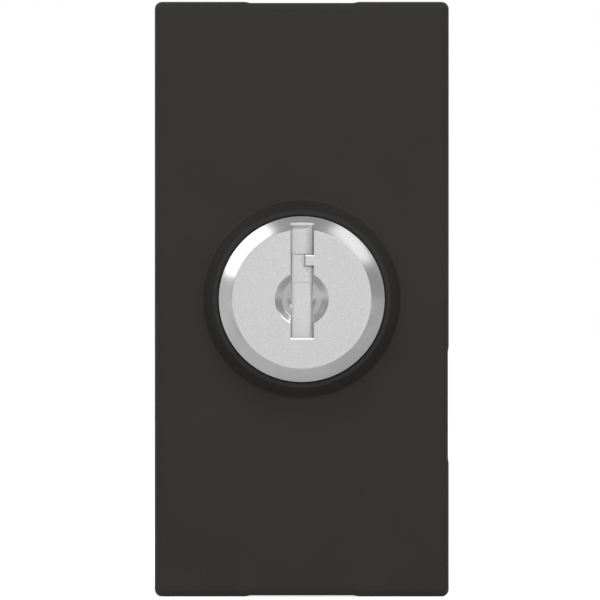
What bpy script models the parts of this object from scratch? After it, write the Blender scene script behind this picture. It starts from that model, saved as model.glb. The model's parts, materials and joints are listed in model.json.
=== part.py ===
"""Selector key switch: a one-module flush insert with a wafer key lock that works two contacts.

Run with: blender --background --python part.py
Metres. +X is right, +Y points into the wall and +Z is up. The origin is the centre of the seating
plane, which is the rear rim of the front cover. The lock's axis is the Y axis.
"""

import math

import bmesh
import bpy
from mathutils import Matrix, Vector

MM = 0.001
X, Y, Z = range(3)
AXIS_MARK = 2.0 * MM  # size of the cross that marks a joint's axis

# Fits
SLIP_FIT = 0.2 * MM  # between mouldings that push together
SEAT_FIT = 0.1 * MM  # between faces that rest on each other
RUN_FIT = 0.1 * MM  # round a shaft, in radius
PIN_FIT = 0.05 * MM  # round a small pin or a thin slider
THROUGH = 1.0 * MM  # how far a cutter runs past the face that it opens
LAP = 0.5 * MM  # how far a joined block runs into what it stands on
WELD = 0.001 * MM  # points nearer than this are one point

# Front cover
COVER_WIDTH = 22.25 * MM
COVER_HEIGHT = 45.0 * MM
COVER_DEPTH = 7.5 * MM  # face to rear rim
COVER_WALL = 1.4 * MM
FACE_THICKNESS = 2.0 * MM
COVER_ROUND = 0.55 * MM
END_RELIEF_WIDTH = 7.8 * MM
END_RELIEF_DEPTH = 0.08 * MM
SIDE_RELIEF_WIDTH = 8.0 * MM
SIDE_RELIEF_DEPTH = 0.06 * MM
SIDE_RELIEF_DROP = 8.0 * MM  # below the lock's axis
RELIEF_SLOPE = 0.4 * MM  # at each end of a relief
COLLAR_HEIGHT = 1.5 * MM
COLLAR_RIM_WIDTH = 0.36 * MM
COLLAR_SPREAD = 0.8 * MM  # of the collar's side, from its rim to its foot
HEAD_GAP = 0.125 * MM  # dark line between the metal head and the collar

# Lock head and rotor
HEAD_RADIUS = 6.265 * MM
HEAD_BEVEL_WIDTH = 1.01 * MM
HEAD_BEVEL_DEPTH = 0.8 * MM
HEAD_THICKNESS = 2.3 * MM
HEAD_PROUD = 1.2 * MM  # lock face in front of the collar's rim
CORE_LENGTH = 17.0 * MM
TAIL_SIDE = 4.2 * MM
TAIL_LENGTH = 2.7 * MM
SLOT_LEFT = -0.84 * MM
SLOT_RIGHT = 0.90 * MM
SLOT_TOP = 5.78 * MM
SLOT_BOTTOM = -3.05 * MM
WARD_REACH = 0.62 * MM
WARD_HEIGHT = 0.75 * MM
WARD_DROP = 0.14 * MM  # below the upper edge of the key blade's way
LIP_THICKNESS = 0.45 * MM  # of the face over the shutter
BLADE_ROOF = 0.63 * MM  # of the core over the key blade's way
RECESS_DEPTH = 0.7 * MM  # for the key's shoulder, above the blade's way
KEYWAY_LENGTH = 17.2 * MM  # from the lock face
DIMPLE_RADIUS = 2.05 * MM
DIMPLE_STEP_RADIUS = 1.5 * MM
DIMPLE_STEP_DEPTH = 0.18 * MM
DIMPLE_FLOOR_RADIUS = 0.82 * MM
DIMPLE_DEPTH = 0.3 * MM

# Shutter
SHUTTER_THICKNESS = 0.3 * MM
SHUTTER_OVERLAP = 0.15 * MM  # behind each edge of the slot
KNUCKLE_RADIUS = 0.42 * MM
SHUTTER_PIN_RADIUS = 0.22 * MM
SHUTTER_PIN_HOLD = 0.5 * MM  # length of pin in the rotor at each end
SHUTTER_SPRING_THICKNESS = 0.1 * MM
SHUTTER_SPRING_WIDTH = 1.6 * MM

# Wafers
WAFER_COUNT = 5
WAFER_PITCH = 2.4 * MM
WAFER_THICKNESS = 0.8 * MM
WAFER_HALF_WIDTH = 1.9 * MM
WAFER_TRAVEL = 0.5 * MM
WAFER_WINDOW_HALF = 1.1 * MM
WAFER_WINDOW_TOP = 2.75 * MM
WAFER_WINDOW_BOTTOM = -2.75 * MM
WAFER_CUT_STEP = 0.15 * MM  # how far the windows differ from one wafer to the next
FIRST_WAFER = 5.8 * MM  # behind the lock face
LUG_REACH = 1.0 * MM
LUG_HEIGHT = 0.6 * MM
LUG_BOTTOM = 0.3 * MM
WAFER_SPRING_LENGTH = 2.05 * MM
WAFER_SPRING_RADIUS = 0.30 * MM
WAFER_SPRING_WIRE = 0.16 * MM
WAFER_SPRING_TURNS = 4

# Lock body, washer and nut
BODY_RADIUS = 5.4 * MM
BODY_WALL = 1.2 * MM  # round the rotor's core
BODY_FLAT_DEPTH = 0.4 * MM  # of the flat on its left, which stops it turning in the cover
FLANGE_THICKNESS = 0.9 * MM
WASHER_RADIUS = 7.3 * MM
WASHER_THICKNESS = 0.5 * MM
NUT_FLATS = 14.0 * MM
NUT_THICKNESS = 2.3 * MM
STOP_PIN_RADIUS = 0.6 * MM
STOP_PIN_BEHIND = 0.7 * MM  # from its axis to the rear end of the body
STOP_PIN_GAP = 0.15 * MM  # to the cam screw

# Drive cam and detent
CAM_SIDE_GAP = 1.225 * MM  # to the housing's walls
CAM_THICKNESS = 1.5 * MM
CAM_HUB_GAP = 0.7 * MM  # from the hub to the plungers
CAM_TRAVEL = 2.5 * MM  # plunger stroke over a quarter turn
CAM_DWELL = math.radians(10)
CAM_GAP = 0.3 * MM  # to the lock body, and under each plunger's nose
NOTCH_DEPTH = 0.7 * MM
NOTCH_HALF_WIDTH = 0.8 * MM
DETENT_THICKNESS = 0.25 * MM
DETENT_WIDTH = 1.1 * MM
DETENT_RISE = 0.6 * MM  # of the spring's arms over the cam's rim
KEEPER_GAP = 0.4 * MM  # from the cam's rim to the ribs that keep the spring
CAM_SCREW_RADIUS = 1.2 * MM
CAM_SCREW_MARGIN = 0.9 * MM  # of the hub round the screw's head
CAM_SCREW_HEAD = 1.4 * MM
SCREW_SLOT = 0.6 * MM

# Rear housing and barrier plate
HOUSING_WALL = 1.3 * MM
HOUSING_END_GAP = 0.6 * MM  # between its ends and the cover's walls
HOUSING_REAR = 26.0 * MM  # behind the seating plane
HOUSING_TONGUE = 4.5 * MM  # length inside the cover
HOUSING_ROUND = 0.5 * MM
SNAP_LENGTH = 5.0 * MM
SNAP_HEIGHT = 0.9 * MM
SNAP_DEPTH = 1.8 * MM
SNAP_CENTRE = 12.0 * MM  # above and below the lock's axis
TAB_WIDTH = 8.0 * MM
TAB_LENGTH = 7.5 * MM
TAB_SLOT = 0.5 * MM
TAB_TOOTH = 1.1 * MM
FRAME_RAIL = 2.4 * MM  # rail of the mounting frame, between cover and tooth
TOOTH_LENGTH = 3.4 * MM
TOOTH_FLAT = 0.85 * MM  # along its crest
BARRIER_THICKNESS = 1.4 * MM
BARRIER_CLEARANCE = 0.7 * MM  # in front of the barrier, to the cam's highest point
BARRIER_SCREW_RADIUS = 0.8 * MM
BARRIER_SCREW_HEAD_RADIUS = 1.6 * MM
BARRIER_SCREW_HEAD = 1.1 * MM
BARRIER_SCREW_LENGTH = 6.0 * MM
WEB_GAP = 0.3 * MM  # from the web between two terminals to each of them

# Contacts
PLUNGER_INSET = 1.5 * MM  # from the cam's rim to the plunger's axis
PLUNGER_WIDTH = 2.4 * MM
PLUNGER_HEIGHT = 3.0 * MM
NOSE_LENGTH = 1.1 * MM
NOSE_HALF = 0.4 * MM
STEM_RADIUS = 0.8 * MM
STEM_LENGTH = 1.6 * MM  # behind the bridge
BRIDGE_WIDTH = 3.2 * MM
BRIDGE_THICKNESS = 0.8 * MM
BRIDGE_OVERHANG = 1.1 * MM  # past the middle of a contact
BUTTON_RADIUS = 1.1 * MM
BUTTON_HEIGHT = 0.4 * MM
CONTACT_OFFSET = 4.5 * MM  # above and below the lock's axis
RIVET_HEIGHT = 0.5 * MM
STRIP_THICKNESS = 0.8 * MM
STRIP_WIDTH = 3.6 * MM
STRIP_INNER = 3.2 * MM
STRIP_BITE = 1.0 * MM  # length held in the terminal block
MAKE_BRIDGE_GAP = 0.8 * MM  # barrier plate to the bridge that closes
SPRING_RADIUS = 1.3 * MM
SPRING_WIRE = 0.34 * MM
SPRING_TURNS = 5
PEG_RADIUS = 0.85 * MM
PEG_LENGTH = 1.0 * MM

# Terminals
TERMINAL_WIDTH = 5.4 * MM
TERMINAL_HEIGHT = 6.7 * MM
TERMINAL_SIDE_GAP = 0.325 * MM  # to the housing's side wall
TERMINAL_FRONT_GAP = 0.6 * MM  # behind the barrier plate
TERMINAL_REAR_GAP = 0.3 * MM
TERMINAL_OUTER_GAP = 0.5 * MM  # to the housing's end wall
WIRE_RISE = 3.0 * MM  # from the terminal's inner end to the wire's axis
WIRE_RADIUS = 1.6 * MM
WIRE_ENTRY_RADIUS = 1.9 * MM
WIRE_FUNNEL_RADIUS = 2.5 * MM
WIRE_FUNNEL_DEPTH = 0.6 * MM
TERMINAL_SCREW_RADIUS = 1.3 * MM
TERMINAL_SCREW_HEAD_RADIUS = 2.0 * MM
TERMINAL_SCREW_HEAD = 1.4 * MM
SCREW_ENTRY_RADIUS = 2.2 * MM
RIB_THICKNESS = 0.8 * MM

# Stations along Y, from the front to the back
FACE_Y = -COVER_DEPTH
INNER_FACE_Y = FACE_Y + FACE_THICKNESS
RIM_Y = FACE_Y - COLLAR_HEIGHT
LOCK_FACE_Y = RIM_Y - HEAD_PROUD
HEAD_REAR_Y = LOCK_FACE_Y + HEAD_THICKNESS
FLANGE_Y = HEAD_REAR_Y + SEAT_FIT
FLANGE_REAR_Y = FLANGE_Y + FLANGE_THICKNESS
COUNTERBORE_Y = FLANGE_REAR_Y + SEAT_FIT
WASHER_Y = INNER_FACE_Y + SEAT_FIT
NUT_Y = WASHER_Y + WASHER_THICKNESS + SEAT_FIT
CORE_REAR_Y = HEAD_REAR_Y + CORE_LENGTH
BODY_REAR_Y = CORE_REAR_Y - SEAT_FIT
TAIL_REAR_Y = CORE_REAR_Y + TAIL_LENGTH
STOP_PIN_Y = BODY_REAR_Y - STOP_PIN_BEHIND
CAM_Y = BODY_REAR_Y + CAM_GAP
CAM_LOW_Y = CAM_Y + CAM_THICKNESS
CAM_HIGH_Y = CAM_LOW_Y + CAM_TRAVEL
CAM_HUB_Y = TAIL_REAR_Y + SLIP_FIT
BARRIER_Y = CAM_HIGH_Y + BARRIER_CLEARANCE
BARRIER_REAR_Y = BARRIER_Y + BARRIER_THICKNESS
WEB_Y = BARRIER_REAR_Y + SEAT_FIT
NOSE_Y = CAM_LOW_Y + CAM_GAP
MAKE_BRIDGE_Y = BARRIER_REAR_Y + MAKE_BRIDGE_GAP
MAKE_RIVET_Y = MAKE_BRIDGE_Y + BRIDGE_THICKNESS + BUTTON_HEIGHT + CAM_TRAVEL + SEAT_FIT
MAKE_STRIP_Y = MAKE_RIVET_Y + RIVET_HEIGHT
BREAK_STRIP_Y = BARRIER_REAR_Y + MAKE_BRIDGE_GAP + TERMINAL_FRONT_GAP
BREAK_RIVET_Y = BREAK_STRIP_Y + STRIP_THICKNESS
BREAK_BRIDGE_Y = BREAK_RIVET_Y + RIVET_HEIGHT + SEAT_FIT + BUTTON_HEIGHT
HOUSING_INNER_REAR_Y = HOUSING_REAR - HOUSING_WALL
TERMINAL_Y = BARRIER_REAR_Y + TERMINAL_FRONT_GAP
TERMINAL_REAR_Y = HOUSING_INNER_REAR_Y - TERMINAL_REAR_GAP
TERMINAL_SCREW_Y = (TERMINAL_Y + TERMINAL_REAR_Y) / 2

# Half sizes across
COVER_X = COVER_WIDTH / 2
COVER_Z = COVER_HEIGHT / 2
COVER_INNER_X = COVER_X - COVER_WALL
COVER_INNER_Z = COVER_Z - COVER_WALL
HOUSING_X = COVER_INNER_X - SLIP_FIT
HOUSING_HEIGHT = COVER_HEIGHT - 2 * (COVER_WALL + HOUSING_END_GAP)
HOUSING_Z = HOUSING_HEIGHT / 2
HOUSING_INNER_X = HOUSING_X - HOUSING_WALL
HOUSING_INNER_Z = HOUSING_Z - HOUSING_WALL
TERMINAL_OUTER = HOUSING_INNER_Z - TERMINAL_OUTER_GAP
TERMINAL_INNER = TERMINAL_OUTER - TERMINAL_HEIGHT
TERMINAL_SIDE = HOUSING_INNER_X - TERMINAL_SIDE_GAP
TERMINAL_OFFSET = TERMINAL_SIDE - TERMINAL_WIDTH / 2
WEB_HALF_WIDTH = TERMINAL_SIDE - TERMINAL_WIDTH - WEB_GAP
WIRE_LEVEL = TERMINAL_INNER + WIRE_RISE

# Radii and places round the lock's axis
HEAD_FACE_RADIUS = HEAD_RADIUS - HEAD_BEVEL_WIDTH
BORE_RADIUS = BODY_RADIUS - BODY_WALL
CORE_RADIUS = BORE_RADIUS - RUN_FIT
BLADE_TOP = CORE_RADIUS - BLADE_ROOF
WARD_TOP = BLADE_TOP - WARD_DROP
WARD_BOTTOM = WARD_TOP - WARD_HEIGHT
BODY_FLAT = BODY_RADIUS - BODY_FLAT_DEPTH
COUNTERBORE_RADIUS = HEAD_RADIUS + HEAD_GAP
COLLAR_RIM_RADIUS = COUNTERBORE_RADIUS + COLLAR_RIM_WIDTH
COLLAR_FOOT_RADIUS = COLLAR_RIM_RADIUS + COLLAR_SPREAD
CAM_RADIUS = HOUSING_INNER_X - CAM_SIDE_GAP
PLUNGER_OFFSET = CAM_RADIUS - PLUNGER_INSET
CAM_HUB_RADIUS = PLUNGER_OFFSET - PLUNGER_WIDTH / 2 - CAM_HUB_GAP
CAM_SCREW_HEAD_RADIUS = CAM_HUB_RADIUS - CAM_SCREW_MARGIN

# The shutter's chamber and hinge in the rotor
CHAMBER_Y = LOCK_FACE_Y + LIP_THICKNESS
SHUTTER_Y = CHAMBER_Y + PIN_FIT
HINGE_Y = SHUTTER_Y + KNUCKLE_RADIUS
HINGE_X = SLOT_LEFT - PIN_FIT - KNUCKLE_RADIUS
SHUTTER_END_X = SLOT_RIGHT + SHUTTER_OVERLAP
SHUTTER_REACH = SHUTTER_END_X - HINGE_X
SHUTTER_BOTTOM = SLOT_BOTTOM - SHUTTER_OVERLAP
SHUTTER_TOP = BLADE_TOP - SEAT_FIT
CHAMBER_REAR_Y = HINGE_Y + SHUTTER_REACH + SEAT_FIT

# Smoothness of round pieces
FINE_SIDES = 64
CORE_SIDES = 48
SMALL_SIDES = 20
TINY_SIDES = 12
NUT_SIDES = 6
ROUND_STEPS = 3  # across a rounded edge
RAMP_STEPS = 12
WAFER_ARC_STEPS = 8
COIL_STEPS = 10  # in each turn of a spring
SMOOTH_ANGLE = math.radians(30)

PARTS = "selector_key_switch"
CUTTERS = "selector_key_switch_cutters"


def clear_scene():
    for obj in list(bpy.data.objects):
        bpy.data.objects.remove(obj, do_unlink=True)


def make_collection(name):
    found = bpy.data.collections.new(name)
    bpy.context.scene.collection.children.link(found)
    return found


def make_finish(name, colour, roughness, metallic=0.0):
    finish = bpy.data.materials.new(name)
    finish.use_nodes = True
    shader = finish.node_tree.nodes["Principled BSDF"]
    shader.inputs["Base Color"].default_value = (*colour, 1.0)
    shader.inputs["Roughness"].default_value = roughness
    shader.inputs["Metallic"].default_value = metallic
    return finish


def make_axis(name, place):
    """An empty on a joint's axis, which carries what moves there."""
    axis = bpy.data.objects.new(name, None)
    axis.location = place
    axis.empty_display_size = AXIS_MARK
    bpy.data.collections[PARTS].objects.link(axis)
    return axis


def new_object(name, shape, collection):
    """An object of this bmesh, with its normals outwards and round faces smooth."""
    bmesh.ops.recalc_face_normals(shape, faces=shape.faces[:])
    mesh = bpy.data.meshes.new(name)
    shape.to_mesh(mesh)
    shape.free()
    mesh.shade_smooth()
    mesh.set_sharp_from_angle(angle=SMOOTH_ANGLE)
    obj = bpy.data.objects.new(name, mesh)
    bpy.data.collections[collection].objects.link(obj)
    return obj


def make_part(name, shape, finish, axis=None):
    """A named piece of the switch, whose origin is on its joint's axis where it has one."""
    if axis:
        bmesh.ops.translate(shape, verts=shape.verts[:], vec=-axis.location)
    part = new_object(name, shape, PARTS)
    part.data.materials.append(bpy.data.materials[finish])
    part.parent = axis
    return part


def combine(part, shape, operation):
    helper = new_object(f"{part.name}_{operation.lower()}", shape, CUTTERS)
    helper.hide_render = True
    helper.display_type = "WIRE"
    modifier = part.modifiers.new(helper.name, "BOOLEAN")
    modifier.operation = operation
    modifier.object = helper


def cut(part, *shapes):
    for shape in shapes:
        combine(part, shape, "DIFFERENCE")


def join(part, *shapes):
    for shape in shapes:
        combine(part, shape, "UNION")


def span(start, end):
    return (min(start, end), max(start, end))


def centred(half):
    return (-half, half)


def rectangle(u, v):
    """The corners of a flat rectangle between (low, high) limits."""
    return [(u[0], v[0]), (u[1], v[0]), (u[1], v[1]), (u[0], v[1])]


def block(x, y, z):
    """A box between the (low, high) limits on each axis."""
    shape = bmesh.new()
    size = Matrix.Diagonal((x[1] - x[0], y[1] - y[0], z[1] - z[0], 1.0))
    middle = Matrix.Translation(((x[0] + x[1]) / 2, (y[0] + y[1]) / 2, (z[0] + z[1]) / 2))
    bmesh.ops.create_cube(shape, size=1.0, matrix=middle @ size)
    return shape


def round_edges(shape, edges, radius):
    bmesh.ops.bevel(shape, geom=edges, offset=radius, segments=ROUND_STEPS, profile=0.5, affect="EDGES")


def bar(axis, radius, limits, centre, sides=SMALL_SIDES, end_radius=None):
    """A round bar or cone along Y or Z, between two limits, centred at two places across it."""
    shape = bmesh.new()
    turn = {
        Y: Matrix.Rotation(-math.pi / 2, 4, "X"),
        Z: Matrix.Identity(4),
    }
    place = [*centre]
    place.insert(axis, (limits[0] + limits[1]) / 2)
    bmesh.ops.create_cone(
        shape,
        cap_ends=True,
        segments=sides,
        radius1=radius,
        radius2=radius if end_radius is None else end_radius,
        depth=limits[1] - limits[0],
        matrix=Matrix.Translation(place) @ turn[axis],
    )
    return shape


def from_modifiers(obj):
    """The bmesh of an object as its modifiers or its curve settings make it; the object is removed."""
    mesh = bpy.data.meshes.new_from_object(obj.evaluated_get(bpy.context.evaluated_depsgraph_get()))
    shape = bmesh.new()
    shape.from_mesh(mesh)
    bmesh.ops.remove_doubles(shape, verts=shape.verts[:], dist=WELD)
    bpy.data.objects.remove(obj, do_unlink=True)
    bpy.data.meshes.remove(mesh)
    return shape


def turned(profile, sides):
    """A solid turned about the Y axis from (radius, y) points."""
    mesh = bpy.data.meshes.new("profile")
    last = len(profile) - 1
    edges = [(i, i + 1) for i in range(last)]
    if profile[0][0] > 0:
        edges.append((last, 0))
    mesh.from_pydata([(radius, y, 0.0) for radius, y in profile], edges, [])
    obj = bpy.data.objects.new("profile", mesh)
    bpy.data.collections[CUTTERS].objects.link(obj)
    screw = obj.modifiers.new("turn", "SCREW")
    screw.axis = "Y"
    screw.steps = sides
    screw.render_steps = sides
    screw.use_merge_vertices = True
    screw.merge_threshold = WELD
    return from_modifiers(obj)


def plate(outlines, normal, limits):
    """A flat plate of these outlines, the first its edge and the rest its holes, along an axis.

    Points are (x, z) for a plate across Y, (x, y) across Z and (y, z) across X.
    """
    curve = bpy.data.curves.new("outline", "CURVE")
    curve.dimensions = "2D"
    curve.fill_mode = "BOTH"
    curve.extrude = (limits[1] - limits[0]) / 2
    for outline in outlines:
        spline = curve.splines.new("POLY")
        spline.points.add(len(outline) - 1)
        for point, (u, v) in zip(spline.points, outline):
            point.co = (u, v, 0.0, 1.0)
        spline.use_cyclic_u = True
    obj = bpy.data.objects.new("outline", curve)
    bpy.data.collections[CUTTERS].objects.link(obj)
    shape = from_modifiers(obj)
    facing = {
        X: Matrix(((0, 0, 1), (1, 0, 0), (0, 1, 0))),
        Y: Matrix(((1, 0, 0), (0, 0, 1), (0, 1, 0))),
        Z: Matrix.Identity(3),
    }
    middle = [0.0, 0.0, 0.0]
    middle[normal] = (limits[0] + limits[1]) / 2
    placed = Matrix.Translation(middle) @ facing[normal].to_4x4()
    bmesh.ops.transform(shape, matrix=placed, verts=shape.verts[:])
    return shape


def arc(radius, start, end, steps):
    """Points on a circle about the origin, from one angle to another."""
    angles = [start + (end - start) * i / steps for i in range(steps + 1)]
    return [(radius * math.cos(angle), radius * math.sin(angle)) for angle in angles]


def ribbon(points, thickness):
    """The outline of a bent strip of even thickness, from the points along its middle."""
    left, right = [], []
    for i, (u, v) in enumerate(points):
        before = Vector(points[max(i - 1, 0)])
        after = Vector(points[min(i + 1, len(points) - 1)])
        here = Vector((u, v))
        along = ((here - before).normalized() + (after - here).normalized()).normalized()
        reach = along if i in (0, len(points) - 1) else (after - here).normalized()
        stretch = thickness / 2 / max(along.dot(reach), 0.5)
        across = Vector((-along.y, along.x)) * stretch
        left.append(tuple(here + across))
        right.append(tuple(here - across))
    return left + right[::-1]


def coil(axis, radius, wire, turns, limits, centre):
    """A wound spring along an axis, whose wire stays between the limits."""
    curve = bpy.data.curves.new("coil", "CURVE")
    curve.dimensions = "3D"
    curve.bevel_depth = wire / 2
    curve.bevel_resolution = 1
    curve.use_fill_caps = True
    spline = curve.splines.new("POLY")
    steps = turns * COIL_STEPS
    spline.points.add(steps)
    low, high = limits[0] + wire / 2, limits[1] - wire / 2
    for i, point in enumerate(spline.points):
        angle = 2 * math.pi * i / COIL_STEPS
        place = [centre[0] + radius * math.cos(angle), centre[1] + radius * math.sin(angle)]
        place.insert(axis, low + (high - low) * i / steps)
        point.co = (*place, 1.0)
    obj = bpy.data.objects.new("coil", curve)
    bpy.data.collections[CUTTERS].objects.link(obj)
    return from_modifiers(obj)


def make_screw(name, along, centre, radii, tip, seat, top, joint_axis=None):
    """A slotted screw along an axis: its shank from the tip, its head from the seat to the top."""
    radius, head_radius = radii
    head = bar(along, head_radius, span(seat, top), centre)
    screw = make_part(name, head, "plated_steel", joint_axis)
    slot_floor = (seat + top) / 2
    join(screw, bar(along, radius, span(tip, slot_floor), centre))
    past_top = top + math.copysign(THROUGH, top - seat)
    slot = [
        (centre[0] - head_radius - THROUGH, centre[0] + head_radius + THROUGH),
        (centre[1] - SCREW_SLOT / 2, centre[1] + SCREW_SLOT / 2),
    ]
    slot.insert(along, span(slot_floor, past_top))
    cut(screw, block(*slot))


def make_finishes():
    make_finish("black_cover", (0.035, 0.034, 0.032), 0.5)
    make_finish("grey_casing", (0.06, 0.06, 0.062), 0.55)
    make_finish("ivory_insulation", (0.62, 0.6, 0.54), 0.5)
    make_finish("white_slider", (0.75, 0.75, 0.73), 0.4)
    make_finish("satin_nickel", (0.6, 0.6, 0.6), 0.35, 1.0)
    make_finish("plated_steel", (0.55, 0.55, 0.56), 0.3, 1.0)
    make_finish("spring_steel", (0.42, 0.42, 0.44), 0.3, 1.0)
    make_finish("brass", (0.7, 0.52, 0.24), 0.3, 1.0)
    make_finish("copper_alloy", (0.72, 0.42, 0.26), 0.3, 1.0)
    make_finish("silver", (0.8, 0.8, 0.78), 0.2, 1.0)


def relief_outline(middle, width, edge, depth):
    """A shallow relief in an outer face, with sloped ends, as (along, out) points."""
    half = width / 2
    mouth = half + RELIEF_SLOPE
    out = edge + THROUGH
    floor = edge - depth
    return [
        (middle - mouth, out),
        (middle - mouth, edge),
        (middle - half, floor),
        (middle + half, floor),
        (middle + mouth, edge),
        (middle + mouth, out),
    ]


def make_front_cover():
    shape = block(centred(COVER_X), (FACE_Y, 0.0), centred(COVER_Z))
    rounded = []
    for edge in shape.edges:
        along_depth = abs(edge.verts[0].co.y - edge.verts[1].co.y) > COVER_DEPTH / 2
        on_face = all(vert.co.y < FACE_Y / 2 for vert in edge.verts)
        if along_depth or on_face:
            rounded.append(edge)
    round_edges(shape, rounded, COVER_ROUND)
    cover = make_part("front_cover", shape, "black_cover")
    depth = (FACE_Y - THROUGH, THROUGH)
    top = relief_outline(0.0, END_RELIEF_WIDTH, COVER_Z, END_RELIEF_DEPTH)
    side = relief_outline(-SIDE_RELIEF_DROP, SIDE_RELIEF_WIDTH, COVER_X, SIDE_RELIEF_DEPTH)
    cut(cover, plate([top], Y, depth))
    cut(cover, plate([[(u, -v) for u, v in top]], Y, depth))
    cut(cover, plate([[(v, u) for u, v in side]], Y, depth))
    cut(cover, block(centred(COVER_INNER_X), (INNER_FACE_Y, THROUGH), centred(COVER_INNER_Z)))
    collar = [(0.0, RIM_Y), (COLLAR_RIM_RADIUS, RIM_Y), (COLLAR_FOOT_RADIUS, FACE_Y)]
    collar += [(COLLAR_FOOT_RADIUS, FACE_Y + LAP), (0.0, FACE_Y + LAP)]
    join(cover, turned(collar, FINE_SIDES))
    cut(cover, bar(Y, COUNTERBORE_RADIUS, (RIM_Y - THROUGH, COUNTERBORE_Y), (0, 0), FINE_SIDES))
    hole_radius = BODY_RADIUS + RUN_FIT
    flat_x = -BODY_FLAT - RUN_FIT
    rise = math.acos(-flat_x / hole_radius)
    hole = arc(hole_radius, rise - math.pi, math.pi - rise, CORE_SIDES)
    cut(cover, plate([hole], Y, (COUNTERBORE_Y - LAP, INNER_FACE_Y + THROUGH)))
    stop_y = (INNER_FACE_Y - LAP, -HOUSING_TONGUE - SEAT_FIT)
    for right in (-1, 1):
        for up in (-1, 1):
            stop_x = span(right * (HOUSING_INNER_X + SEAT_FIT), right * (COVER_INNER_X + LAP))
            stop_z = span(up * (HOUSING_INNER_Z - SNAP_LENGTH / 2), up * (COVER_INNER_Z + LAP))
            join(cover, block(stop_x, stop_y, stop_z))
            window_x = span(right * (COVER_INNER_X - LAP), right * (COVER_X + THROUGH))
            middle = up * SNAP_CENTRE
            half = SNAP_LENGTH / 2 + SLIP_FIT
            cut(cover, block(window_x, window_limits(), (middle - half, middle + half)))


def window_limits():
    """Depth of the cover's snap windows, in which the housing's lugs catch."""
    rear = -(HOUSING_TONGUE - SNAP_DEPTH) / 2
    return (rear - SNAP_DEPTH - 2 * SLIP_FIT, rear)


def make_lock_body():
    flange_radius = HEAD_RADIUS - PIN_FIT
    profile = [(BORE_RADIUS, FLANGE_Y), (flange_radius, FLANGE_Y), (flange_radius, FLANGE_REAR_Y)]
    profile += [(BODY_RADIUS, FLANGE_REAR_Y), (BODY_RADIUS, BODY_REAR_Y), (BORE_RADIUS, BODY_REAR_Y)]
    body = make_part("lock_body", turned(profile, CORE_SIDES), "satin_nickel")
    behind = (FLANGE_REAR_Y, BODY_REAR_Y + THROUGH)
    cut(body, block((-BODY_RADIUS - THROUGH, -BODY_FLAT), behind, centred(BODY_RADIUS + THROUGH)))
    half = WAFER_HALF_WIDTH + SEAT_FIT
    groove_y = (wafer_y(0) - WAFER_PITCH / 2, wafer_y(WAFER_COUNT - 1) + WAFER_PITCH / 2)
    reach = (0.0, CORE_RADIUS + WAFER_TRAVEL + SEAT_FIT)
    cut(body, block(centred(half), groove_y, reach), block(reach, groove_y, centred(half)))
    edge = STOP_PIN_RADIUS + SEAT_FIT
    corner = (-BODY_RADIUS - THROUGH, edge)
    stop_y = (STOP_PIN_Y - edge, BODY_REAR_Y + THROUGH)
    cut(body, block(corner, stop_y, corner))


def make_lock_fixings():
    washer_y = (WASHER_Y, WASHER_Y + WASHER_THICKNESS)
    nut_y = (NUT_Y, NUT_Y + NUT_THICKNESS)
    disc = bar(Y, WASHER_RADIUS, washer_y, (0, 0), CORE_SIDES)
    hexagon = bar(Y, NUT_FLATS / math.sqrt(3), nut_y, (0, 0), NUT_SIDES)
    for name, shape in (("lock_washer", disc), ("lock_nut", hexagon)):
        ring = make_part(name, shape, "plated_steel")
        through = (washer_y[0] - THROUGH, nut_y[1] + THROUGH)
        cut(ring, bar(Y, BODY_RADIUS + RUN_FIT, through, (0, 0), CORE_SIDES))


def wafer_y(index):
    return LOCK_FACE_Y + FIRST_WAFER + index * WAFER_PITCH


def slot_outline():
    """The key slot as the lock face shows it, with the ward on its right wall, as (x, z)."""
    ward_x = SLOT_RIGHT - WARD_REACH
    return [
        (SLOT_LEFT, SLOT_BOTTOM),
        (SLOT_RIGHT, SLOT_BOTTOM),
        (SLOT_RIGHT, WARD_BOTTOM),
        (ward_x, WARD_BOTTOM),
        (ward_x, WARD_TOP),
        (SLOT_RIGHT, WARD_TOP),
        (SLOT_RIGHT, BLADE_TOP),
        (SLOT_LEFT, BLADE_TOP),
    ]


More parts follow.
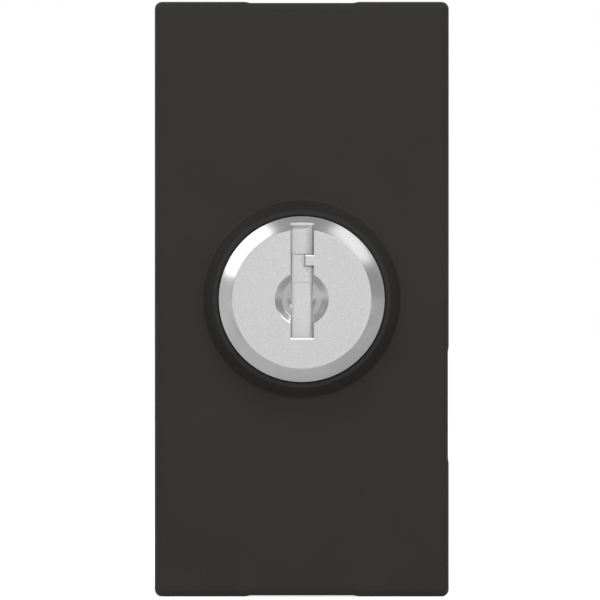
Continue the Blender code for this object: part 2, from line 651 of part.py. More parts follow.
def make_lock_rotor(axis):
    bevel_y = LOCK_FACE_Y + HEAD_BEVEL_DEPTH
    profile = [(0.0, LOCK_FACE_Y), (HEAD_FACE_RADIUS, LOCK_FACE_Y), (HEAD_RADIUS, bevel_y)]
    profile += [(HEAD_RADIUS, HEAD_REAR_Y), (CORE_RADIUS, HEAD_REAR_Y)]
    profile += [(CORE_RADIUS, CORE_REAR_Y), (0.0, CORE_REAR_Y)]
    rotor = make_part("lock_rotor", turned(profile, CORE_SIDES), "satin_nickel", axis)
    half_tail = centred(TAIL_SIDE / 2)
    join(rotor, block(half_tail, (CORE_REAR_Y - THROUGH, TAIL_REAR_Y), half_tail))
    front = LOCK_FACE_Y - THROUGH
    slot_x = (SLOT_LEFT, SLOT_RIGHT)
    cut(rotor, plate([slot_outline()], Y, (front, CHAMBER_Y + PIN_FIT)))
    cut(rotor, block(slot_x, (front, LOCK_FACE_Y + RECESS_DEPTH), (BLADE_TOP - PIN_FIT, SLOT_TOP)))
    floor_y = LOCK_FACE_Y + DIMPLE_DEPTH
    dimple = [(0.0, front), (DIMPLE_RADIUS, front), (DIMPLE_RADIUS, LOCK_FACE_Y)]
    dimple += [(DIMPLE_STEP_RADIUS, LOCK_FACE_Y + DIMPLE_STEP_DEPTH)]
    dimple += [(DIMPLE_FLOOR_RADIUS, floor_y), (0.0, floor_y)]
    cut(rotor, turned(dimple, CORE_SIDES))
    chamber_x = (HINGE_X - KNUCKLE_RADIUS - PIN_FIT, SHUTTER_END_X + SEAT_FIT)
    chamber_z = (SHUTTER_BOTTOM - SEAT_FIT, BLADE_TOP)
    cut(rotor, block(chamber_x, (CHAMBER_Y, CHAMBER_REAR_Y), chamber_z))
    keyway_y = (CHAMBER_REAR_Y - PIN_FIT, LOCK_FACE_Y + KEYWAY_LENGTH)
    cut(rotor, block(slot_x, keyway_y, (SLOT_BOTTOM, BLADE_TOP)))
    pin_z = shutter_pin_limits()
    pin_hole = (pin_z[0] - PIN_FIT, pin_z[1] + PIN_FIT)
    cut(rotor, bar(Z, SHUTTER_PIN_RADIUS + PIN_FIT, pin_hole, (HINGE_X, HINGE_Y), TINY_SIDES))
    for index in range(WAFER_COUNT):
        half = WAFER_THICKNESS / 2 + PIN_FIT
        slice_y = (wafer_y(index) - half, wafer_y(index) + half)
        slice_x = centred(WAFER_HALF_WIDTH + PIN_FIT)
        cut(rotor, block(slice_x, slice_y, centred(CORE_RADIUS + THROUGH)))
        lug_x = (0.0, WAFER_HALF_WIDTH + LUG_REACH + PIN_FIT)
        lug_top = LUG_BOTTOM + LUG_HEIGHT + WAFER_TRAVEL + SEAT_FIT
        cut(rotor, block(lug_x, slice_y, (wafer_spring_limits()[0] - PIN_FIT, lug_top)))
    stop_hole = (-CORE_RADIUS - THROUGH, stop_pin_limits()[1] + PIN_FIT)
    cut(rotor, bar(Z, STOP_PIN_RADIUS + PIN_FIT, stop_hole, (0, STOP_PIN_Y), TINY_SIDES))
    screw_hole = (cam_screw_tip() - PIN_FIT, TAIL_REAR_Y + THROUGH)
    cut(rotor, bar(Y, CAM_SCREW_RADIUS + PIN_FIT, screw_hole, (0, 0)))


def shutter_pin_limits():
    return (SHUTTER_BOTTOM - SHUTTER_PIN_HOLD, SHUTTER_TOP + SHUTTER_PIN_HOLD)


def stop_pin_limits():
    """The stop pin runs from the lock body's outside to just short of the cam screw."""
    return (-BODY_RADIUS + SEAT_FIT, -CAM_SCREW_RADIUS - STOP_PIN_GAP)


def cam_screw_tip():
    return STOP_PIN_Y - STOP_PIN_RADIUS


def wafer_spring_limits():
    return (LUG_BOTTOM - PIN_FIT - WAFER_SPRING_LENGTH, LUG_BOTTOM - PIN_FIT)


def make_rotor_pins(axis):
    hinge = bar(Z, SHUTTER_PIN_RADIUS, shutter_pin_limits(), (HINGE_X, HINGE_Y), TINY_SIDES)
    make_part("shutter_pin", hinge, "plated_steel", axis)
    stop = bar(Z, STOP_PIN_RADIUS, stop_pin_limits(), (0, STOP_PIN_Y), TINY_SIDES)
    make_part("stop_pin", stop, "plated_steel", axis)


def make_shutter(hinge, rotor_axis):
    height = (SHUTTER_BOTTOM, SHUTTER_TOP)
    flap = block((HINGE_X, SHUTTER_END_X), (SHUTTER_Y, SHUTTER_Y + SHUTTER_THICKNESS), height)
    shutter = make_part("key_shutter", flap, "satin_nickel", hinge)
    join(shutter, bar(Z, KNUCKLE_RADIUS, height, (HINGE_X, HINGE_Y)))
    bore = (height[0] - THROUGH, height[1] + THROUGH)
    cut(shutter, bar(Z, SHUTTER_PIN_RADIUS + PIN_FIT, bore, (HINGE_X, HINGE_Y), TINY_SIDES))
    back = SHUTTER_Y + SHUTTER_THICKNESS + SHUTTER_SPRING_THICKNESS + PIN_FIT
    wall_x = HINGE_X - KNUCKLE_RADIUS + SHUTTER_SPRING_THICKNESS
    bend = (wall_x + SHUTTER_SPRING_THICKNESS, HINGE_Y + KNUCKLE_RADIUS + 2 * SHUTTER_THICKNESS)
    tail = (wall_x, CHAMBER_REAR_Y - SEAT_FIT)
    strip = ribbon([tail, bend, (SLOT_LEFT / 2, back)], SHUTTER_SPRING_THICKNESS)
    width = centred(SHUTTER_SPRING_WIDTH / 2)
    make_part("shutter_spring", plate([strip], Z, width), "spring_steel", rotor_axis)


def make_wafers(wafer_axes, rotor_axis):
    """Flat sliders that lie flush with the rotor, with a side lug over each spring."""
    radius = CORE_RADIUS - PIN_FIT
    corner = math.acos(WAFER_HALF_WIDTH / radius)
    lug = rectangle(
        (WAFER_HALF_WIDTH, WAFER_HALF_WIDTH + LUG_REACH),
        (LUG_BOTTOM, LUG_BOTTOM + LUG_HEIGHT),
    )
    crown = arc(radius, corner, math.pi - corner, WAFER_ARC_STEPS)
    foot = arc(radius, math.pi + corner, 2 * math.pi - corner, WAFER_ARC_STEPS)
    spring_x = WAFER_HALF_WIDTH + LUG_REACH / 2
    for index, axis in enumerate(wafer_axes):
        number = index + 1
        shift = WAFER_CUT_STEP * (2 * index % WAFER_COUNT - WAFER_COUNT // 2)
        window_z = (WAFER_WINDOW_BOTTOM + shift, WAFER_WINDOW_TOP + shift)
        window = rectangle(centred(WAFER_WINDOW_HALF), window_z)
        half = WAFER_THICKNESS / 2
        limits = (wafer_y(index) - half, wafer_y(index) + half)
        slider = plate([lug + crown + foot, window], Y, limits)
        make_part(f"wafer_{number}", slider, "brass", axis)
        spring = coil(
            Z,
            WAFER_SPRING_RADIUS,
            WAFER_SPRING_WIRE,
            WAFER_SPRING_TURNS,
            wafer_spring_limits(),
            (spring_x, wafer_y(index)),
        )
        make_part(f"wafer_spring_{number}", spring, "spring_steel", rotor_axis)


def cam_ramp(start):
    """A helical ramp round the cam, rising over a quarter turn and then level."""
    inner, outer = CAM_HUB_RADIUS - SEAT_FIT, CAM_RADIUS - PIN_FIT
    low = CAM_LOW_Y - CAM_TRAVEL - SEAT_FIT
    shape = bmesh.new()
    corners = rectangle((inner, outer), (low, CAM_LOW_Y))
    verts = [shape.verts.new((r * math.cos(start), y, r * math.sin(start))) for r, y in corners]
    end = [shape.faces.new(verts)]
    for turn, rise, steps in ((math.pi / 2, CAM_TRAVEL, RAMP_STEPS), (CAM_DWELL, 0.0, 1)):
        made = bmesh.ops.spin(
            shape,
            geom=end + list(end[0].edges) + list(end[0].verts),
            axis=(0, -1, 0),
            cent=(0, 0, 0),
            dvec=(0, rise / steps, 0),
            angle=turn,
            steps=steps,
        )
        end = [item for item in made["geom_last"] if isinstance(item, bmesh.types.BMFace)]
    bmesh.ops.remove_doubles(shape, verts=shape.verts[:], dist=WELD)
    open_edges = [edge for edge in shape.edges if edge.is_boundary]
    bmesh.ops.holes_fill(shape, edges=open_edges)
    return shape


def make_drive(axis):
    disc = bar(Y, CAM_RADIUS, (CAM_Y, CAM_LOW_Y), (0, 0), CORE_SIDES)
    cam = make_part("drive_cam", disc, "white_slider", axis)
    join(cam, bar(Y, CAM_HUB_RADIUS, (CAM_Y + PIN_FIT, CAM_HUB_Y), (0, 0), CORE_SIDES))
    join(cam, cam_ramp(0.0), cam_ramp(math.pi))
    ahead = (CAM_Y - CAM_TRAVEL - THROUGH, CAM_Y)
    cut(cam, bar(Y, CAM_RADIUS + THROUGH, ahead, (0, 0), CORE_SIDES))
    half = centred(TAIL_SIDE / 2 + PIN_FIT)
    cut(cam, block(half, (CAM_Y - THROUGH, CAM_HUB_Y + THROUGH), half))
    apex = CAM_RADIUS - NOTCH_DEPTH
    mouth = CAM_RADIUS + NOTCH_HALF_WIDTH
    flare = NOTCH_HALF_WIDTH * (mouth - apex) / NOTCH_DEPTH
    notch = [(0.0, apex), (flare, mouth), (-flare, mouth)]
    rim = (CAM_Y - THROUGH, CAM_LOW_Y + LAP)
    cut(cam, plate([notch], Y, rim), plate([[(-v, u) for u, v in notch]], Y, rim))
    radii = (CAM_SCREW_RADIUS, CAM_SCREW_HEAD_RADIUS)
    seat = CAM_HUB_Y + PIN_FIT
    make_screw("cam_screw", Y, (0, 0), radii, cam_screw_tip(), seat, seat + CAM_SCREW_HEAD, axis)


def detent_middle():
    """Points along the detent spring, from its left end over the notch to its right end."""
    apex = CAM_RADIUS - NOTCH_DEPTH + DETENT_THICKNESS + SEAT_FIT / 2
    arm = CAM_RADIUS + DETENT_RISE
    bend = NOTCH_HALF_WIDTH * (arm - apex) / NOTCH_DEPTH
    end_x = HOUSING_INNER_X - SLIP_FIT
    end_z = arm + DETENT_THICKNESS
    return [(-end_x, end_z), (-bend, arm), (0.0, apex), (bend, arm), (end_x, end_z)]


def detent_limits():
    middle = (CAM_Y + CAM_LOW_Y) / 2
    return (middle - DETENT_WIDTH / 2, middle + DETENT_WIDTH / 2)


def make_detent_spring():
    outline = ribbon(detent_middle(), DETENT_THICKNESS)
    make_part("detent_spring", plate([outline], Y, detent_limits()), "spring_steel")


def make_barrier():
    half_x = HOUSING_INNER_X - SLIP_FIT / 2
    half_z = HOUSING_INNER_Z - SLIP_FIT / 2
    sheet = block(centred(half_x), (BARRIER_Y, BARRIER_REAR_Y), centred(half_z))
    barrier = make_part("barrier_plate", sheet, "ivory_insulation")
    depth = (BARRIER_Y - THROUGH, BARRIER_REAR_Y + THROUGH)
    for right in (-1, 1):
        middle = right * PLUNGER_OFFSET
        half = PLUNGER_WIDTH / 2 + RUN_FIT
        cut(barrier, block((middle - half, middle + half), depth, centred(PLUNGER_HEIGHT / 2 + RUN_FIT)))
    pad_x = (PLUNGER_OFFSET - STRIP_WIDTH / 2, PLUNGER_OFFSET + STRIP_WIDTH / 2)
    pad_y = (BARRIER_REAR_Y - LAP, BREAK_STRIP_Y - SEAT_FIT)
    pad_inner = CONTACT_OFFSET + BRIDGE_OVERHANG + SEAT_FIT
    radii = (BARRIER_SCREW_RADIUS, BARRIER_SCREW_HEAD_RADIUS)
    seat = BARRIER_Y - PIN_FIT
    tip = seat + BARRIER_SCREW_LENGTH
    for level, up in (("bottom", -1), ("top", 1)):
        join(barrier, block(pad_x, pad_y, span(up * pad_inner, up * (TERMINAL_INNER - THROUGH))))
        centre = (0, up * WIRE_LEVEL)
        cut(barrier, bar(Y, BARRIER_SCREW_RADIUS + PIN_FIT, depth, centre))
        make_screw(f"barrier_screw_{level}", Y, centre, radii, tip, seat, seat - BARRIER_SCREW_HEAD)


def make_rear_housing():
    shape = block(centred(HOUSING_X), (-HOUSING_TONGUE, HOUSING_REAR), centred(HOUSING_Z))
    rounded = [edge for edge in shape.edges if max(vert.co.y for vert in edge.verts) > 0]
    round_edges(shape, rounded, HOUSING_ROUND)
    housing = make_part("rear_housing", shape, "grey_casing")
    inside = (-HOUSING_TONGUE - THROUGH, HOUSING_INNER_REAR_Y)
    cut(housing, block(centred(HOUSING_INNER_X), inside, centred(HOUSING_INNER_Z)))
    rear = HOUSING_INNER_REAR_Y + LAP
    peg_y = (HOUSING_INNER_REAR_Y - PEG_LENGTH, rear)
    arm_end = detent_middle()[-1][1]
    over_arm = arm_end + DETENT_THICKNESS / 2 + SEAT_FIT
    under_arm = arm_end - DETENT_THICKNESS / 2 - SEAT_FIT
    for right in (-1, 1):
        keeper_x = span(right * (CAM_RADIUS + KEEPER_GAP), right * (HOUSING_INNER_X + LAP))
        join(housing, block(keeper_x, detent_limits(), (over_arm, over_arm + RIB_THICKNESS)))
        join(housing, block(keeper_x, detent_limits(), (under_arm - RIB_THICKNESS, under_arm)))
        join(housing, bar(Y, PEG_RADIUS, peg_y, (right * PLUNGER_OFFSET, 0), TINY_SIDES))
    for up in (-1, 1):
        make_web_and_tab(housing, up, rear)
        for right in (-1, 1):
            make_terminal_bay(housing, right, up, rear)
            make_snap_lug(housing, right, up)
        support_x = (-PLUNGER_OFFSET - STRIP_WIDTH / 2, -PLUNGER_OFFSET + STRIP_WIDTH / 2)
        support_z = span(up * (CONTACT_OFFSET - BUTTON_RADIUS), up * (CONTACT_OFFSET + BUTTON_RADIUS))
        support_y = (MAKE_STRIP_Y + STRIP_THICKNESS + SEAT_FIT, rear)
        join(housing, block(support_x, support_y, support_z))


def make_web_and_tab(housing, up, rear):
    """The web that takes a barrier screw, and the sprung tab that holds the mounting frame's rail."""
    web_z = span(up * (TERMINAL_INNER - SEAT_FIT), up * (HOUSING_INNER_Z + LAP))
    join(housing, block(centred(WEB_HALF_WIDTH), (WEB_Y, rear), web_z))
    pilot = (WEB_Y - THROUGH, BARRIER_Y + BARRIER_SCREW_LENGTH + SEAT_FIT)
    cut(housing, bar(Y, BARRIER_SCREW_RADIUS + PIN_FIT, pilot, (0, up * WIRE_LEVEL)))
    half = TAB_WIDTH / 2
    root = up * (HOUSING_Z - LAP)
    crest = up * (HOUSING_Z + TAB_TOOTH)
    tooth = [
        (FRAME_RAIL, root),
        (FRAME_RAIL, crest),
        (FRAME_RAIL + TOOTH_FLAT, crest),
        (FRAME_RAIL + TOOTH_LENGTH, root),
    ]
    join(housing, plate([tooth], X, centred(half - TAB_SLOT)))
    through_z = span(up * (HOUSING_INNER_Z - LAP), up * (HOUSING_Z + THROUGH + TAB_TOOTH))
    front = FRAME_RAIL - 2 * TAB_SLOT
    side_y = (front, front + TAB_LENGTH)
    cut(housing, block(centred(half + TAB_SLOT), (front, front + TAB_SLOT), through_z))
    for right in (-1, 1):
        cut(housing, block(span(right * half, right * (half + TAB_SLOT)), side_y, through_z))


def make_terminal_bay(housing, right, up, rear):
    """A wire entry in the rear wall, a screw entry in the end wall and a rib behind the terminal."""
    wire = (right * TERMINAL_OFFSET, up * WIRE_LEVEL)
    wall = (HOUSING_INNER_REAR_Y - LAP, HOUSING_REAR + THROUGH)
    cut(housing, bar(Y, WIRE_ENTRY_RADIUS, wall, wire))
    widening = (WIRE_FUNNEL_RADIUS - WIRE_ENTRY_RADIUS) / WIRE_FUNNEL_DEPTH
    flare = WIRE_FUNNEL_RADIUS + widening * THROUGH
    funnel = (HOUSING_REAR - WIRE_FUNNEL_DEPTH, HOUSING_REAR + THROUGH)
    cut(housing, bar(Y, WIRE_ENTRY_RADIUS, funnel, wire, end_radius=flare))
    end = span(up * (HOUSING_INNER_Z - LAP), up * (HOUSING_Z + THROUGH))
    cut(housing, bar(Z, SCREW_ENTRY_RADIUS, end, (right * TERMINAL_OFFSET, TERMINAL_SCREW_Y)))
    rib_x = span(right * (HOUSING_INNER_X - RIB_THICKNESS), right * (HOUSING_INNER_X + LAP))
    rib_z = span(up * (TERMINAL_INNER - SEAT_FIT - RIB_THICKNESS), up * (TERMINAL_INNER - SEAT_FIT))
    join(housing, block(rib_x, (WEB_Y, rear), rib_z))


def make_snap_lug(housing, right, up):
    front, back = window_limits()
    root = right * (HOUSING_X - LAP)
    skin = right * HOUSING_X
    crest = right * (HOUSING_X + SNAP_HEIGHT)
    lead_y = front + SLIP_FIT
    lock_y = back - SLIP_FIT
    outline = [
        (root, lead_y),
        (skin, lead_y),
        (crest, lock_y - SLIP_FIT),
        (crest, lock_y),
        (root, lock_y),
    ]
    middle = up * SNAP_CENTRE
    join(housing, plate([outline], Z, (middle - SNAP_LENGTH / 2, middle + SNAP_LENGTH / 2)))


def make_plunger(side, right, bridge_y, button_at_rear, axis):
    """A slider that the cam pushes back, with the bridge that it carries."""
    middle = right * PLUNGER_OFFSET
    half = PLUNGER_WIDTH / 2
    body_x = (middle - half, middle + half)
    shoulder = NOSE_Y + NOSE_LENGTH
    seat = bridge_y - PIN_FIT
    deep = PLUNGER_HEIGHT / 2
    outline = [
        (NOSE_Y, -NOSE_HALF),
        (shoulder, -deep),
        (seat, -deep),
        (seat, deep),
        (shoulder, deep),
        (NOSE_Y, NOSE_HALF),
    ]
    plunger = make_part(f"plunger_{side}", plate([outline], X, body_x), "white_slider", axis)
    stem = (seat - THROUGH, bridge_y + BRIDGE_THICKNESS + STEM_LENGTH)
    join(plunger, bar(Y, STEM_RADIUS, stem, (middle, 0), TINY_SIDES))
    bridge_x = (middle - BRIDGE_WIDTH / 2, middle + BRIDGE_WIDTH / 2)
    strip_y = (bridge_y, bridge_y + BRIDGE_THICKNESS)
    reach = centred(CONTACT_OFFSET + BRIDGE_OVERHANG)
    bridge = make_part(f"contact_bridge_{side}", block(bridge_x, strip_y, reach), "copper_alloy", axis)
    button_y = (bridge_y - BUTTON_HEIGHT, bridge_y + BRIDGE_THICKNESS / 2)
    if button_at_rear:
        button_y = (bridge_y + BRIDGE_THICKNESS / 2, bridge_y + BRIDGE_THICKNESS + BUTTON_HEIGHT)
    for up in (-1, 1):
        join(bridge, bar(Y, BUTTON_RADIUS, button_y, (middle, up * CONTACT_OFFSET)))
    hole = (bridge_y - THROUGH, bridge_y + BRIDGE_THICKNESS + THROUGH)
    cut(bridge, bar(Y, STEM_RADIUS + RUN_FIT, hole, (middle, 0), TINY_SIDES))
    spring_y = (bridge_y + BRIDGE_THICKNESS + PIN_FIT, HOUSING_INNER_REAR_Y - PIN_FIT)
    spring = coil(Y, SPRING_RADIUS, SPRING_WIRE, SPRING_TURNS, spring_y, (middle, 0))
    make_part(f"return_spring_{side}", spring, "spring_steel")


def make_terminal(side, right, level, up, strip_y, rivet_y):
    """A fixed contact with its strip, terminal block and clamping screw."""
    name = f"{level}_{side}"
    strip_middle = right * PLUNGER_OFFSET
    strip_x = (strip_middle - STRIP_WIDTH / 2, strip_middle + STRIP_WIDTH / 2)
    strip_limits = (strip_y, strip_y + STRIP_THICKNESS)
    strip_z = span(up * STRIP_INNER, up * (TERMINAL_INNER + STRIP_BITE))
    make_part(f"contact_strip_{name}", block(strip_x, strip_limits, strip_z), "copper_alloy")
    face = (rivet_y + PIN_FIT, rivet_y + RIVET_HEIGHT)
    if rivet_y < strip_y:
        face = (rivet_y, rivet_y + RIVET_HEIGHT - PIN_FIT)
    rivet = bar(Y, BUTTON_RADIUS, face, (strip_middle, up * CONTACT_OFFSET))
    make_part(f"contact_rivet_{name}", rivet, "silver")
    middle = right * TERMINAL_OFFSET
    block_x = (middle - TERMINAL_WIDTH / 2, middle + TERMINAL_WIDTH / 2)
    block_z = span(up * TERMINAL_INNER, up * TERMINAL_OUTER)
    brick = block(block_x, (TERMINAL_Y, TERMINAL_REAR_Y), block_z)
    terminal = make_part(f"terminal_block_{name}", brick, "brass")
    wire_y = (TERMINAL_Y - THROUGH, TERMINAL_REAR_Y + THROUGH)
    cut(terminal, bar(Y, WIRE_RADIUS, wire_y, (middle, up * WIRE_LEVEL)))
    held_x = (strip_x[0] - PIN_FIT, strip_x[1] + PIN_FIT)
    held_y = (strip_limits[0] - PIN_FIT, strip_limits[1] + PIN_FIT)
    held_end = TERMINAL_INNER + STRIP_BITE + PIN_FIT
    cut(terminal, block(held_x, held_y, span(up * (TERMINAL_INNER - THROUGH), up * held_end)))
    centre = (middle, TERMINAL_SCREW_Y)
    thread = span(up * WIRE_LEVEL, up * (TERMINAL_OUTER + THROUGH))
    cut(terminal, bar(Z, TERMINAL_SCREW_RADIUS + RUN_FIT, thread, centre))
    radii = (TERMINAL_SCREW_RADIUS, TERMINAL_SCREW_HEAD_RADIUS)
    tip = up * (WIRE_LEVEL + WIRE_RADIUS - SLIP_FIT)
    seat = up * (TERMINAL_OUTER + SEAT_FIT)
    top = seat + up * TERMINAL_SCREW_HEAD
    make_screw(f"terminal_screw_{name}", Z, centre, radii, tip, seat, top)


def make_contacts():
    for side, right, bridge_y, rear, strip_y, rivet_y in (
        ("left", -1, MAKE_BRIDGE_Y, True, MAKE_STRIP_Y, MAKE_RIVET_Y),
        ("right", 1, BREAK_BRIDGE_Y, False, BREAK_STRIP_Y, BREAK_RIVET_Y),
    ):
        axis = make_axis(f"plunger_axis_{side}", (right * PLUNGER_OFFSET, NOSE_Y, 0.0))
        make_plunger(side, right, bridge_y, rear, axis)
        for level, up in (("bottom", -1), ("top", 1)):
            make_terminal(side, right, level, up, strip_y, rivet_y)


def main():
    clear_scene()
    make_collection(PARTS)
    make_collection(CUTTERS)
    make_finishes()
    key_axis = make_axis("key_axis", (0.0, 0.0, 0.0))
    shutter_axis = make_axis("shutter_axis", (HINGE_X, HINGE_Y, 0.0))
    wafer_axes = [make_axis(f"wafer_axis_{i + 1}", (0.0, wafer_y(i), 0.0)) for i in range(WAFER_COUNT)]
    make_front_cover()
    make_lock_body()
    make_lock_fixings()
    make_lock_rotor(key_axis)
    make_rotor_pins(key_axis)
    make_shutter(shutter_axis, key_axis)
    make_wafers(wafer_axes, key_axis)
    make_drive(key_axis)
    make_detent_spring()
    make_barrier()
    make_rear_housing()
    make_contacts()


main()
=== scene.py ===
"""Looks of the selector key switch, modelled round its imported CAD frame.

Metres. +X is right, +Y points into the wall and +Z is up. The lock's axis is the Y axis.
"""

import json
import math

import bmesh
import bpy
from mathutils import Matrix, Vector


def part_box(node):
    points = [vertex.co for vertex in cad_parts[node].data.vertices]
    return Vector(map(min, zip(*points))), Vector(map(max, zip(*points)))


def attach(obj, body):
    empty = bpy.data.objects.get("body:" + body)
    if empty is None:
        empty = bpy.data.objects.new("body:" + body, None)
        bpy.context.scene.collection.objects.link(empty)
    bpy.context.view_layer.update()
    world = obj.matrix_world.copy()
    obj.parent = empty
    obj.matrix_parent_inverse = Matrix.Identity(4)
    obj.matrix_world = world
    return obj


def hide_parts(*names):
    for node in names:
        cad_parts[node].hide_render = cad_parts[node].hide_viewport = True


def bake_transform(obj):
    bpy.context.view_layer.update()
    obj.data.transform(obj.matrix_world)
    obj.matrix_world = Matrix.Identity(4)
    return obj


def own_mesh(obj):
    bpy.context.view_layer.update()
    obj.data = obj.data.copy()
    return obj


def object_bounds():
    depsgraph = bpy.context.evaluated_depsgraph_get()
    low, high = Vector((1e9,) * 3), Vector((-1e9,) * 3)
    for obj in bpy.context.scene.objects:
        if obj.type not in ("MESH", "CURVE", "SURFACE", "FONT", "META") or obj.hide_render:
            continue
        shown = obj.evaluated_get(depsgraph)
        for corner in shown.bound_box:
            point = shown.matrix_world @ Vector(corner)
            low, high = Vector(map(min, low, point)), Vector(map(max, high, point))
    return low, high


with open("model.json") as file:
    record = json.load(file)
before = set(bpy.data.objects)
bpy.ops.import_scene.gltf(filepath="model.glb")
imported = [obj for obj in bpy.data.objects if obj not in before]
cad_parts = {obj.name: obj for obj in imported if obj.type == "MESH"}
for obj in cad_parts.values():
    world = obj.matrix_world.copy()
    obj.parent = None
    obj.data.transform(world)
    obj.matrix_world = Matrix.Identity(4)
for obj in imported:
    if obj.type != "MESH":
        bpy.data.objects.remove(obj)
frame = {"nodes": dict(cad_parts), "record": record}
cad_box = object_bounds()

MM = 0.001
FINE_SIDES = 128
SMALL_SIDES = 48
SMOOTH_ANGLE = math.radians(32)
X_AXIS, Y_AXIS, Z_AXIS = range(3)
WELD = 0.002 * MM
NEAR = 0.004 * MM  # how near a point lies to a plane that it is on
THROUGH = 1.0 * MM  # how far a tool runs past what it cuts

# How much of a face's normal lies along an axis
FACING = 0.9  # at least, where the face looks along it
OUTWARD = 0.5  # at least, on the lock's face and bevel
ASIDE = 0.6  # at most, where the face turns away from it
TILTED = 0.3  # at least, on a slope
SIDEWAYS = 0.1  # at most, where the face lies along it
POLISHED = (-0.99, -0.05)  # between these, on the lock's polished slopes

# Front cover
COVER_WALL = 1.4 * MM
FACE_THICKNESS = 2.0 * MM
COVER_ROUND = 0.55 * MM
COVER_ROUND_STEPS = 6
RIM_BREAK = 0.1 * MM
RIM_STEPS = 2
RIM_REACH = 0.07 * MM  # how near a rim's points lie to the wall's plane
STOP_LENGTH = 3 * COVER_WALL  # of the stops in the corners, against which the casing is pushed
COLLAR_HEIGHT = 1.5 * MM
COLLAR_RIM_WIDTH = 0.36 * MM
COLLAR_SPREAD = 0.8 * MM
COLLAR_LIP_ROUND = 0.06 * MM
COLLAR_RIM_ROUND = 0.12 * MM
COLLAR_FOOT_ROUND = 0.22 * MM
COLLAR_STEPS = (4, 5, 6)  # of the rounds at its lip, rim and foot
COLLAR_SEAM_RADIUS = 8.8 * MM  # where the collar's ring is let into the face
SEAM_NEAR = 10 * NEAR
HEAD_GAP = 0.06 * MM
HOLE_RADIUS = 5.5 * MM
HOLE_FLAT = 5.1 * MM
HOLE_FLAT_HALF = 2 * HOLE_FLAT / 5  # half the flat's height
COUNTERBORE_Y = -6.8 * MM
END_RELIEF = (3.9 * MM, 0.08 * MM)  # half width and depth
SIDE_RELIEF = (4.0 * MM, 0.06 * MM)
SIDE_RELIEF_DROP = 8.0 * MM
RELIEF_SLOPE = 0.4 * MM
SNAP_CENTRE = 12.0 * MM
SNAP_WINDOW_HALF = 2.7 * MM
SNAP_WINDOW_Y = (-3.55 * MM, -1.35 * MM)
SNAP_PLAY = 0.2 * MM  # between a lug and its window
SNAP_FLAT = 0.2 * MM  # on a lug's crest

# Lock rotor and shutter
HEAD_BEVEL = (1.01 * MM, 0.8 * MM)  # width and depth
HEAD_REAR_Y = -7.9 * MM
CORE_RADIUS = 4.1 * MM
CORE_REAR_Y = 9.1 * MM
TAIL_HALF = 2.1 * MM
CAM_SCREW_RADIUS = 1.2 * MM
WAFER_COUNT = 5
SPRING_ROOM_TOP = 1.5 * MM  # upper end of the room for a wafer's spring and lug
SLOT_X = (-0.87 * MM, 0.935 * MM)
SLOT_BOTTOM = -3.05 * MM
SLOT_TOP = 5.78 * MM
BLADE_TOP = 3.47 * MM
WARD_REACH = 0.62 * MM
WARD_Z = (2.58 * MM, 3.33 * MM)
LIP_THICKNESS = 0.45 * MM
RECESS_DEPTH = 0.7 * MM
KEYWAY_END_Y = 7.0 * MM
CHAMBER_REAR_Y = -6.82 * MM
DIMPLE_RADIUS = 2.05 * MM
DIMPLE_FLOOR_RADIUS = 0.85 * MM
DIMPLE_STEPS = 48
DIMPLE_SLOPES = (  # share of the way from rim to floor, and slope in degrees
    (0.0, 15.0), (0.04, 18.0), (0.09, 24.0), (0.11, 27.5), (0.44, 27.5),
    (0.45, 10.0), (0.6, 6.0), (0.76, 11.0), (0.92, 22.0), (1.0, 23.0),
)
SLOT_CHAMFER = 0.06 * MM
SLOT_DRAFT = 0.165 * MM  # how far the slot's walls lean in from mouth to floor
SLOT_HEEL = (0.19 * MM, 0.07 * MM)  # height and depth of the slope at the slot's upper end
SLOT_TOE = (0.15 * MM, 0.058 * MM)  # and of the one at its lower end
TOE_LIFT = 0.05 * MM
WARD_BROW = (0.1 * MM, 0.04 * MM)  # and of the one along the ward's upper edge
RECESS_ROUND = 0.55 * MM
RECESS_STEPS = 8
RECESS_END = 0.27 * MM  # how far the recess's upper wall leans in, from the heel to the floor
EDGE_BREAK = 0.02 * MM
EDGE_STEPS = 3
FLAP_BREAK = 0.02 * MM
FLAP_STEPS = 2
FIT = 0.05 * MM
SHUTTER_GAP = 0.03 * MM
SHUTTER_BEND = (0.05 * MM, 0.11 * MM)  # where the flap's free edge starts to bend back, and how far
BEND_COLUMNS = 24
KNUCKLE_RADIUS = 0.42 * MM
SHUTTER_THICKNESS = 0.3 * MM
SHUTTER_DISH = (1.33 * MM, 0.05 * MM)  # radius of its round upper end, and depth

# Springs
LEAF_THICKNESS = 0.1 * MM
LEAF_CORNER = 0.5  # share of each limb that its bend takes up
LEAF_STEPS = 10
RETURN_WIRE = 0.34 * MM
RETURN_TURNS = 5
RETURN_STEPS = 36  # a turn
WIRE_SIDES = 14

# Rear housing
HOUSING_HALF_X = 9.525 * MM
HOUSING_HALF_Z = 20.5 * MM
HOUSING_WALL = 1.3 * MM
HOUSING_ROUND = 0.5 * MM
HOUSING_ROUND_STEPS = 5
SNAP_LUG_HALF = 2.5 * MM
TAB_HALF = 4.0 * MM
TAB_SLOT = 0.5 * MM
TAB_Y = (1.4 * MM, 8.9 * MM)
TOOTH_Y = (2.4 * MM, 5.8 * MM)
TOOTH_FLAT = 0.85 * MM
WIRE_ENTRY = (1.9 * MM, 2.5 * MM, 0.6 * MM)  # radius, mouth radius and mouth depth
SCREW_ENTRY_RADIUS = 2.2 * MM
PILOT_RADIUS = 0.85 * MM
WEB_HALF = 2.2 * MM
WEB_FRONT_Y = 15.5 * MM
TERMINAL_INNER = 12.0 * MM
RIB_THICKNESS = 0.8 * MM

